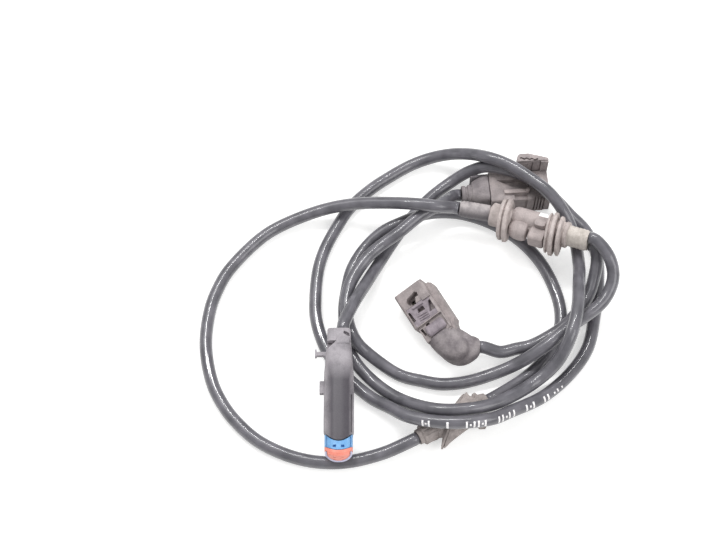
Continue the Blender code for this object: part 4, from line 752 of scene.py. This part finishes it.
boot = skin_over(BOOT_SECTIONS)
carve(boot, skin_over(FOOT_SECTIONS), "UNION")
exit_way = (wheel_place.to_3x3().inverted() @ Vector((1, 0, -0.12))).normalized()
stub = loft([(x, oval(radius, steps=48)) for x, radius in ((0, 4.6), (4.6, 4.6), (7.4, 4.2), (9.2, 3.3))])
stub.data.transform(Matrix.Translation((0, -3.0, -1.5)) @ exit_way.to_track_quat("X", "Z").to_matrix().to_4x4())
carve(boot, stub, "UNION")
skin = boot.modifiers.new("one_skin", "REMESH")
skin.mode, skin.voxel_size = "VOXEL", BOOT_VOXEL
ease = boot.modifiers.new("ease", "SMOOTH")
ease.factor, ease.iterations = 0.5, 14
apply_changes(boot)
settle(boot, "wheel_boot_elbow", wheel_place, "boot_rubber", ["wheel_socket_boot"], 0)

# %% [markdown]
# ## Pad wear socket
#
# The second socket lies flat under the splitter. Its top is open along a shallow channel where the
# clip of the pad's probe runs, with a guide rail at one side, and its near side has a shallow notch
# and grip ribs. The tall holder behind it clips to the strut, so it has a wavy slot for a spring.

# %% Wear socket housing, rail and boot
wear_place = placed_at((5.1, 54.9, 5.2), math.radians(4))

housing = bar([(11.9, 14.1, 10.0, 1.0), (12.4, 14.5, 10.4, 1.0), (34.4, 14.5, 10.4, 1.0),
               (34.6, 14.1, 10.0, 0.9), (37.1, 14.1, 10.0, 0.9)])
carve(housing, bar([(11.9, 4.4, 8.4, 1.4, (6.0, 0.0)), (12.6, 4.8, 9.2, 1.6, (6.2, 0.0)),
                    (23.4, 4.8, 9.2, 1.6, (6.2, 0.0))]), "UNION")
carve(housing, prism([(15.0, 3.2), (20.9, -0.3), (28.9, -2.3), (29.1, 3.2)], 2.8, 8.0))
carve(housing, block((22.0, -9.0, -4.2), (27.3, -6.5, 8.0)))
carve(housing, block((21.9, -9.0, 4.1), (27.4, -4.5, 8.0)))
for index in range(4):
    start = 29.9 + 1.3 * index
    carve(housing, prism([(start, -9.0), (start + 0.6, -9.0), (start + 1.0, -6.0), (start + 0.5, -6.0)], -4.0, 8.0))
carve(housing, block((13.4, -9.0, -3.0), (20.6, -6.95, 3.0)))
cut_contact_slots(housing, 29.3, 40.0)
settle(housing, "wear_socket_moulding", wear_place, "socket_nylon", ["wear_socket_housing"], 0.3)

rail = prism([(17.6, -4.1), (27.9, -4.3), (28.4, -3.8), (28.4, -2.7), (17.6, -2.4)], 5.45, 6.5)
carve(rail, prism([(26.8, -4.1), (27.9, -4.2), (28.4, -3.8), (28.4, -2.7), (27.0, -2.6)], 6.0, 7.4), "UNION")
settle(rail, "wear_guide_rail", wear_place, "splitter_nylon", ["wear_socket_latch"], 0.15)

boot = bar([
    (0.0, 7.4, 7.4, 3.5), (0.4, 7.8, 7.8, 3.7), (1.5, 7.8, 7.8, 3.7),
    (1.7, 6.8, 6.8, 3.2), (2.4, 6.8, 6.8, 3.2), (2.6, 8.0, 7.9, 3.7),
    (3.6, 8.4, 8.2, 3.6), (3.8, 7.9, 7.8, 3.4), (4.3, 8.2, 8.0, 3.4),
    (4.5, 9.4, 8.7, 3.4, (0.2, 0.0)), (6.6, 11.0, 9.2, 3.0, (0.5, 0.0)),
    (8.7, 12.4, 9.6, 2.6, (0.8, 0.0)), (10.6, 13.4, 9.9, 2.2, (1.0, 0.0)),
    (11.6, 13.6, 9.8, 2.0, (1.0, 0.0)),
])
settle(boot, "wear_boot_moulding", wear_place, "boot_rubber", ["wear_socket_boot"], 0.2)

# %% Clip holder and shield
holder = prism([(23.9, 7.55), (37.3, 7.55), (37.3, 8.6), (33.6, 9.9), (29.1, 11.35), (25.4, 11.35), (24.4, 10.6),
                (23.9, 9.4)], -5.2, 12.4)
wave = [(25.2 + 0.45 * step, 9.2 - 0.07 * step + 0.28 * math.sin(1.25 * step)) for step in range(18)]
carve(holder, prism([(x, y - 0.35) for x, y in wave] + [(x, y + 0.35) for x, y in wave[::-1]], 7.0, 14.0))
carve(holder, block((30.0, 6.0, 2.0), (30.7, 7.9, 11.0)))
for level in (7.2, 9.4):
    carve(holder, block((24.8, 6.0, level), (28.6, 7.75, level + 0.5)))
carve(holder, prism([(33.8, 8.0), (34.1, 7.0), (37.3, 6.8), (37.3, 8.0)], -5.0, 11.9), "UNION")
settle(holder, "wear_clip_holder_moulding", wear_place, "socket_nylon", ["wear_clip_holder"], 0.3)

shield = block((4.4, 7.0, -5.2), (11.6, 8.0, 3.0))
for start in (5.6, 7.8, 10.0):
    carve(shield, block((start, 7.7, -6.0), (start + 0.6, 8.4, 2.2)))
settle(shield, "wear_side_shield", wear_place, "plug_nylon", ["wear_socket_shield"], 0.15)

# %% [markdown]
# ## Splitter
#
# The splitter is moulded over the joint of one cable and two. A short grommet at each end snaps into
# a sheet-metal bracket, with soft discs that bend as they go through, so their edges are never quite
# round. The body between them shows the two branches inside it: a tube with a raised pad, and a
# lower lobe that is waisted before its square end.

# %% Splitter grommets
splitter_place = placed_between((16.0, 40.4, 14.4), (55.2, 24.0, 20.1))
DISC_LEAN = -0.11           # the discs stand a little aslant on the body
DISC_SIDES = 72
DISC_WEAR = 0.012           # share of the radius that is worn off in places
DISC_FROM = 6               # radius from which an outline is soft disc and not core
ENTRY_HANG, EXIT_HANG = -1.1, -1.4
SPLITTER_MIDDLE = 20        # x between the entry discs and the exit discs


def core(x, radius, height=None, *lean):
    """One outline of a grommet's firm core."""
    return (x, oval(radius, height, steps=DISC_SIDES), *lean)


def soft_disc(x, radius):
    """One outline of a disc that hangs a little to the near side and is worn at its edge."""
    points = []
    soft = radius > DISC_FROM
    hang = ENTRY_HANG if x < SPLITTER_MIDDLE else EXIT_HANG
    for y, z in oval(radius, radius, (hang if soft else 0.0, 0.0), DISC_SIDES):
        turn = math.atan2(z, y)
        worn = 1 + DISC_WEAR * (math.sin(9 * turn + x) + 0.7 * math.sin(23 * turn + 2 * x)) * (1 if soft else 0)
        points.append((y * worn, z * worn))
    return (x, points, DISC_LEAN)


ENTRY_DISCS = [             # x and radius
    (4.7, 5.4), (4.9, 7.9), (5.3, 8.6), (6.4, 8.6), (6.7, 8.2), (6.8, 7.6), (7.1, 7.6), (7.2, 8.4), (7.5, 9.0),
    (8.7, 9.0), (9.1, 8.5), (9.3, 4.8),
]
entry = loft([core(0.0, 3.2), core(0.7, 3.4), core(0.9, 4.8), core(1.5, 5.0), core(3.9, 4.9),
              *[soft_disc(x, radius) for x, radius in ENTRY_DISCS], core(10.1, 4.2)])
settle(entry, "entry_grommet_discs", splitter_place, "disc_rubber", ["splitter_entry_grommet"], 0.12)

EXIT_PAIR = [
    (25.4, 6.6), (25.6, 7.9), (26.3, 8.4), (26.6, 8.0), (26.8, 7.5), (27.2, 7.5), (27.4, 8.2), (27.7, 9.0),
    (28.9, 9.0), (29.2, 8.4),
]
EXIT_SINGLE = [(30.2, 7.6), (30.5, 8.2), (31.5, 8.2), (31.8, 7.6)]
exit_side = loft([*[soft_disc(x, radius) for x, radius in EXIT_PAIR],
                  core(29.4, 4.5, 6.1, DISC_LEAN), core(30.0, 4.5, 6.1, DISC_LEAN),
                  *[soft_disc(x, radius) for x, radius in EXIT_SINGLE],
                  core(32.0, 4.6, 6.2, 0.5 * DISC_LEAN), core(32.8, 4.6, 6.2), core(33.0, 5.0, 6.5),
                  core(34.2, 5.0, 6.5), core(34.5, 4.5, 6.1)])
settle(exit_side, "exit_grommet_discs", splitter_place, "disc_rubber", ["splitter_exit_grommet"], 0.12)

# %% Splitter body and paint mark
TUBE_MIDDLE = (1.4, 1.2)    # y and z of the body's upper tube
LOBE_MIDDLE = (-3.8, 0.0)

TUBE_RADII = [(10.2, 3.6), (11.2, 4.1), (11.8, 4.25), (25.2, 4.25), (25.7, 4.0)]
LOBE_RADII = [(10.4, 2.6), (11.2, 3.5), (12.6, 4.1), (14.6, 4.4), (16.6, 4.2), (17.6, 3.7), (17.9, 3.0)]

body = loft([(x, oval(radius, middle=TUBE_MIDDLE)) for x, radius in TUBE_RADII])
lobe = loft([(x, oval(radius, middle=LOBE_MIDDLE)) for x, radius in LOBE_RADII])
square_end = bar([(19.1, 5.0, 6.2, 1.4, (-4.9, 0.0)), (19.7, 6.2, 7.2, 1.6, (-5.0, 0.0)),
                  (24.8, 6.4, 7.4, 1.6, (-5.0, 0.0)), (25.6, 6.0, 7.0, 1.6, (-5.0, 0.0))])
web = bar([(10.9, 7.4, 4.4, 1.0), (25.4, 7.4, 4.4, 1.0)])
pad = prism([(20.4, -2.0), (21.0, -2.6), (24.3, -2.6), (24.9, -2.0), (24.9, -0.2), (24.3, 0.4), (21.0, 0.4),
             (20.4, -0.2)], 1.5, 5.75)
for part in (lobe, square_end, web, pad):
    carve(body, part, "UNION")
settle(body, "splitter_body_moulding", splitter_place, "splitter_nylon", ["splitter_body"], 0.25)


def add_film(body, rows, columns, place_at):
    """Add a thin closed film to body, from what place_at says for each shell, row and column."""
    under, over = [[[body.verts.new(place_at(shell, row, column)) for column in range(columns)]
                    for row in range(rows)] for shell in (0, 1)]
    for grid in (under, over):
        for near, far in zip(grid, grid[1:]):
            for column in range(columns - 1):
                body.faces.new((near[column], near[column + 1], far[column + 1], far[column]))
    edge = [(0, column) for column in range(columns)] + [(row, columns - 1) for row in range(1, rows)]
    edge += [(rows - 1, column) for column in range(columns - 2, -1, -1)]
    edge += [(row, 0) for row in range(rows - 2, 0, -1)]
    for (r1, c1), (r2, c2) in zip(edge, edge[1:] + edge[:1]):
        body.faces.new((under[r1][c1], under[r2][c2], over[r2][c2], over[r1][c1]))


PAINT_RADII = (4.0, 4.4)    # under the tube's surface, and proud of it
PAINT_X = (21.0, 25.2)
PAINT_TURN = (42, 82)       # degrees up from the tube's side
PAINT_RAGGED = 0.12         # how far the brush left the ends uneven
PAINT_ROWS, PAINT_COLUMNS = 7, 9


def paint_place(shell, row, column):
    """A point of the paint's film, along the tube by row and round it by column."""
    angle = math.radians(PAINT_TURN[0] + (PAINT_TURN[1] - PAINT_TURN[0]) * column / (PAINT_COLUMNS - 1))
    shift = PAINT_RAGGED * math.sin(3.1 * column + row) if row in (0, PAINT_ROWS - 1) else 0.0
    return (PAINT_X[0] + (PAINT_X[1] - PAINT_X[0]) * row / (PAINT_ROWS - 1) + shift,
            TUBE_MIDDLE[0] + PAINT_RADII[shell] * math.cos(angle),
            TUBE_MIDDLE[1] + PAINT_RADII[shell] * math.sin(angle))


paint = bmesh.new()
add_film(paint, PAINT_ROWS, PAINT_COLUMNS, paint_place)
mark = solid(paint)
settle(mark, "splitter_paint_mark", splitter_place, "white_paint", (), 0)

# %% Sleeves
# Heat-shrink sleeve is drawn onto the cable by a flame, which leaves shallow creases across it.
def creased(start, end, half_width, half_height, tip, step=0.45):
    """The outlines of a shrunk sleeve, creased by a tenth of a millimetre and narrowed at its tip."""
    rows = []
    count = round((end - start) / step)
    for row in range(count + 1):
        x = start + (end - start) * row / count
        crease = 0.07 * math.sin(4.1 * x) + 0.05 * math.sin(9.7 * x)
        narrow = 1 - (1 - tip) * max(0.0, (row / count - 0.75) / 0.25) ** 2
        rows.append((x, oval((half_width + crease) * narrow, (half_height + crease) * narrow)))
    return rows


entry_place = placed_between((3.4, 42.8, 14.5), (16.0, 40.4, 14.4))
entry_sleeve = loft([(12.5 - x, outline) for x, outline in creased(0.0, 12.5, 3.5, 3.5, 0.84)])
settle(entry_sleeve, "entry_sleeve_shrunk", entry_place, "entry_sleeve", ["entry_sleeve"], 0)
branch_sleeve = loft(creased(34.5, 43.1, 3.8, 5.5, 0.92))
settle(branch_sleeve, "branch_sleeve_shrunk", splitter_place, "branch_sleeve", ["branch_sleeve"], 0)

# %% [markdown]
# ## Bulkhead grommet
#
# This grommet sits in a hole in the inner wing where the lead passes at a slant, so its flange is an
# oblong that crosses the cable obliquely. The left face of the flange is flat, because it seals
# against the sheet, and the right side runs out in a ribbed cone. Each outline along the cable has
# its own share of that slant, from none at the toothed collar to all of it at the flange.

# %% Grommet
grommet_place = placed_between((-15.7, -56.3, 5.1), (12.1, -40.9, 5.1))
GROMMET_SLANT = 1.2
GROMMET_SIDES = 96
TOOTH_COUNT, RIB_COUNT = 14, 16
GROMMET_PROFILE = [         # place, radius, share of the slant, depth of the teeth, depth of the ribs
    (0.0, 3.1, 0.0, 0, 0), (1.6, 3.2, 0.0, 0, 0), (1.8, 3.9, 0.0, 0.1, 0), (2.2, 4.2, 0.0, 0.2, 0),
    (3.0, 4.1, 0.0, 0.2, 0), (4.6, 4.1, 0.0, 0.2, 0), (6.8, 4.3, 0.0, 0.3, 0), (7.3, 4.1, 0.0, 0.2, 0),
    (7.6, 3.8, 0.05, 0, 0), (8.6, 4.1, 0.25, 0, 0), (10.4, 4.2, 0.55, 0, 0), (13.6, 4.5, 0.92, 0, 0),
    (15.0, 6.8, 0.98, 0, 0.1), (15.8, 7.8, 1.0, 0, 0.1), (16.6, 8.1, 1.0, 0, 0.1), (17.0, 7.5, 1.0, 0, 0.15),
    (17.4, 8.1, 1.0, 0, 0.1), (18.2, 8.0, 1.0, 0, 0.15), (18.9, 7.5, 0.97, 0, 0.3), (20.0, 7.0, 0.88, 0, 0.4),
    (21.6, 6.5, 0.72, 0, 0.4), (23.3, 6.0, 0.5, 0, 0.35), (25.0, 5.5, 0.28, 0, 0.25), (26.4, 5.0, 0.12, 0, 0.1),
    (27.0, 4.5, 0.06, 0, 0), (27.3, 5.2, 0.05, 0.2, 0), (27.7, 5.9, 0.05, 0.25, 0), (28.6, 5.9, 0.05, 0.25, 0),
    (28.9, 5.0, 0.05, 0.1, 0), (29.1, 4.2, 0.0, 0, 0), (30.6, 3.9, 0.0, 0, 0), (31.8, 3.5, 0.0, 0, 0),
]
grommet_rows = []
for x, radius, share, teeth, ribs in GROMMET_PROFILE:
    spread = max(0.0, (radius - 4.0) / 4.4)
    height = min(radius, 4.0 + 1.1 * min(1.0, spread) ** 0.5)
    outline = []
    for step in range(GROMMET_SIDES):
        turn = 2 * math.pi * step / GROMMET_SIDES
        cut = teeth if math.cos(TOOTH_COUNT * turn) < 0 else 0.0
        cut += ribs * (0.5 - 0.5 * math.cos(RIB_COUNT * turn)) ** 2
        outline.append(((radius - cut) * math.cos(turn) - 0.9 * spread, (height - min(cut, 0.25)) * math.sin(turn)))
    grommet_rows.append((x, outline, GROMMET_SLANT * share))
grommet = loft(grommet_rows)
carve(grommet, prism([(22.4, -4.6), (23.4, -8.4), (25.4, -9.4), (26.4, -8.8), (25.6, -4.6)], -1.6, 0.6), "UNION")
settle(grommet, "bulkhead_grommet_moulding", grommet_place, "grommet_rubber", ["bulkhead_grommet"], 0.12)

# %% [markdown]
# ## Print on the jacket
#
# The cable carries a row of white type marks, put on by an ink jet as it was extruded. Plain bars and
# dots stand in for them. Each is a film a few hundredths of a millimetre thick that follows the round
# jacket, at its own place along the route and turned towards the viewer's side of the cable.

# %% Type marks
MARK_LIFT = 0.05            # mm that the ink stands proud
MARK_ROOT = 0.1             # mm that it reaches into the jacket
MARK_ROWS, MARK_COLUMNS = 3, 5
MARKED_X, MARKED_Y = (-14, 47), (-56, -25)      # mm, where the marked strand lies
MARKS = [                   # turn from the top in degrees, length along, then each mark's x and width around
    (54, 0.78, [(-13.4, 2.75), (-12.2, 0.75), (-11.0, 2.75)]),
    (54, 0.91, [(-4.3, 3.0)]),
    (52, 0.78, [(2.6, 3.0), (4.0, 0.875), (5.4, 2.75), (7.0, 3.0), (8.4, 0.875), (9.6, 2.75)]),
    (50, 0.78, [(14.4, 2.75), (15.8, 3.0), (17.2, 0.875), (18.6, 2.75), (20.6, 3.0)]),
    (48, 0.78, [(26.2, 2.75), (27.8, 0.875), (29.2, 2.875), (33.8, 2.75), (35.4, 2.75), (38.0, 0.875)]),
    (48, 0.65, [(39.4, 1.5), (41.2, 0.875)]),
]
front_line = []             # the first of the strands that cross that field
for point in routes["cable_plug_to_grommet"]:
    x_mm, y_mm = point.x / MM, point.y / MM
    if not (MARKED_X[0] < x_mm < MARKED_X[1] and MARKED_Y[0] < y_mm < MARKED_Y[1]):
        continue
    if front_line and (point - front_line[-1]).length >= 2.5 * CABLE_SPACING:
        break
    front_line.append(point)


def print_mark(body, line, x_mm, length, turn_deg, width):
    """Add one film of ink to body, on the line of the cable's middle."""
    start = min(range(1, len(line) - 2), key=lambda index: abs(line[index].x - x_mm * MM))
    ahead = (line[start + 1] - line[start - 1]).normalized()
    up = (Vector((0, 0, 1)) - ahead * ahead.z).normalized()
    out = ahead.cross(up)
    if out.y > 0:
        out = -out
    middle = line[start] + ahead * ((x_mm * MM - line[start].x) / ahead.x)
    radii = (CABLE_DIAMETER / 2 - MARK_ROOT * MM, CABLE_DIAMETER / 2 + MARK_LIFT * MM)

    def ink_place(shell, row, column):
        turn = math.radians(turn_deg) + (column / (MARK_COLUMNS - 1) - 0.5) * width * MM / (CABLE_DIAMETER / 2)
        return (middle + ahead * (row / (MARK_ROWS - 1) - 0.5) * length * MM
                + radii[shell] * (math.cos(turn) * up + math.sin(turn) * out))

    add_film(body, MARK_ROWS, MARK_COLUMNS, ink_place)


ink = bmesh.new()
for turn_deg, length, row_of_marks in MARKS:
    for x_mm, width in row_of_marks:
        print_mark(ink, front_line, x_mm, length, turn_deg, width)
type_marks = solid(ink)
type_marks.name = "cable_type_marks"
type_marks.data.materials.append(looks["white_paint"])
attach(type_marks, "root")
print("type marks:", sum(len(row[2]) for row in MARKS), "on", len(front_line), "points of the cable")

print("cables declared:", len(cables))

# %% [markdown]
# ## Contacts
#
# The contacts sit deep in their bores and slots. They are tinned brass, cut from sheet, so the
# packed blades keep their shape and get a metal finish and lightly broken edges.

# %% Contacts
for subpart in frame["record"]["subparts"]:
    if subpart["material_slot"] != "tinned_brass":
        continue
    blade = frame["nodes"][subpart["node"]]
    blade.data.materials.clear()
    blade.data.materials.append(looks["tinned_brass"])
    broken = blade.modifiers.new("broken_edges", "BEVEL")
    broken.width, broken.segments = 0.1 * MM, 2
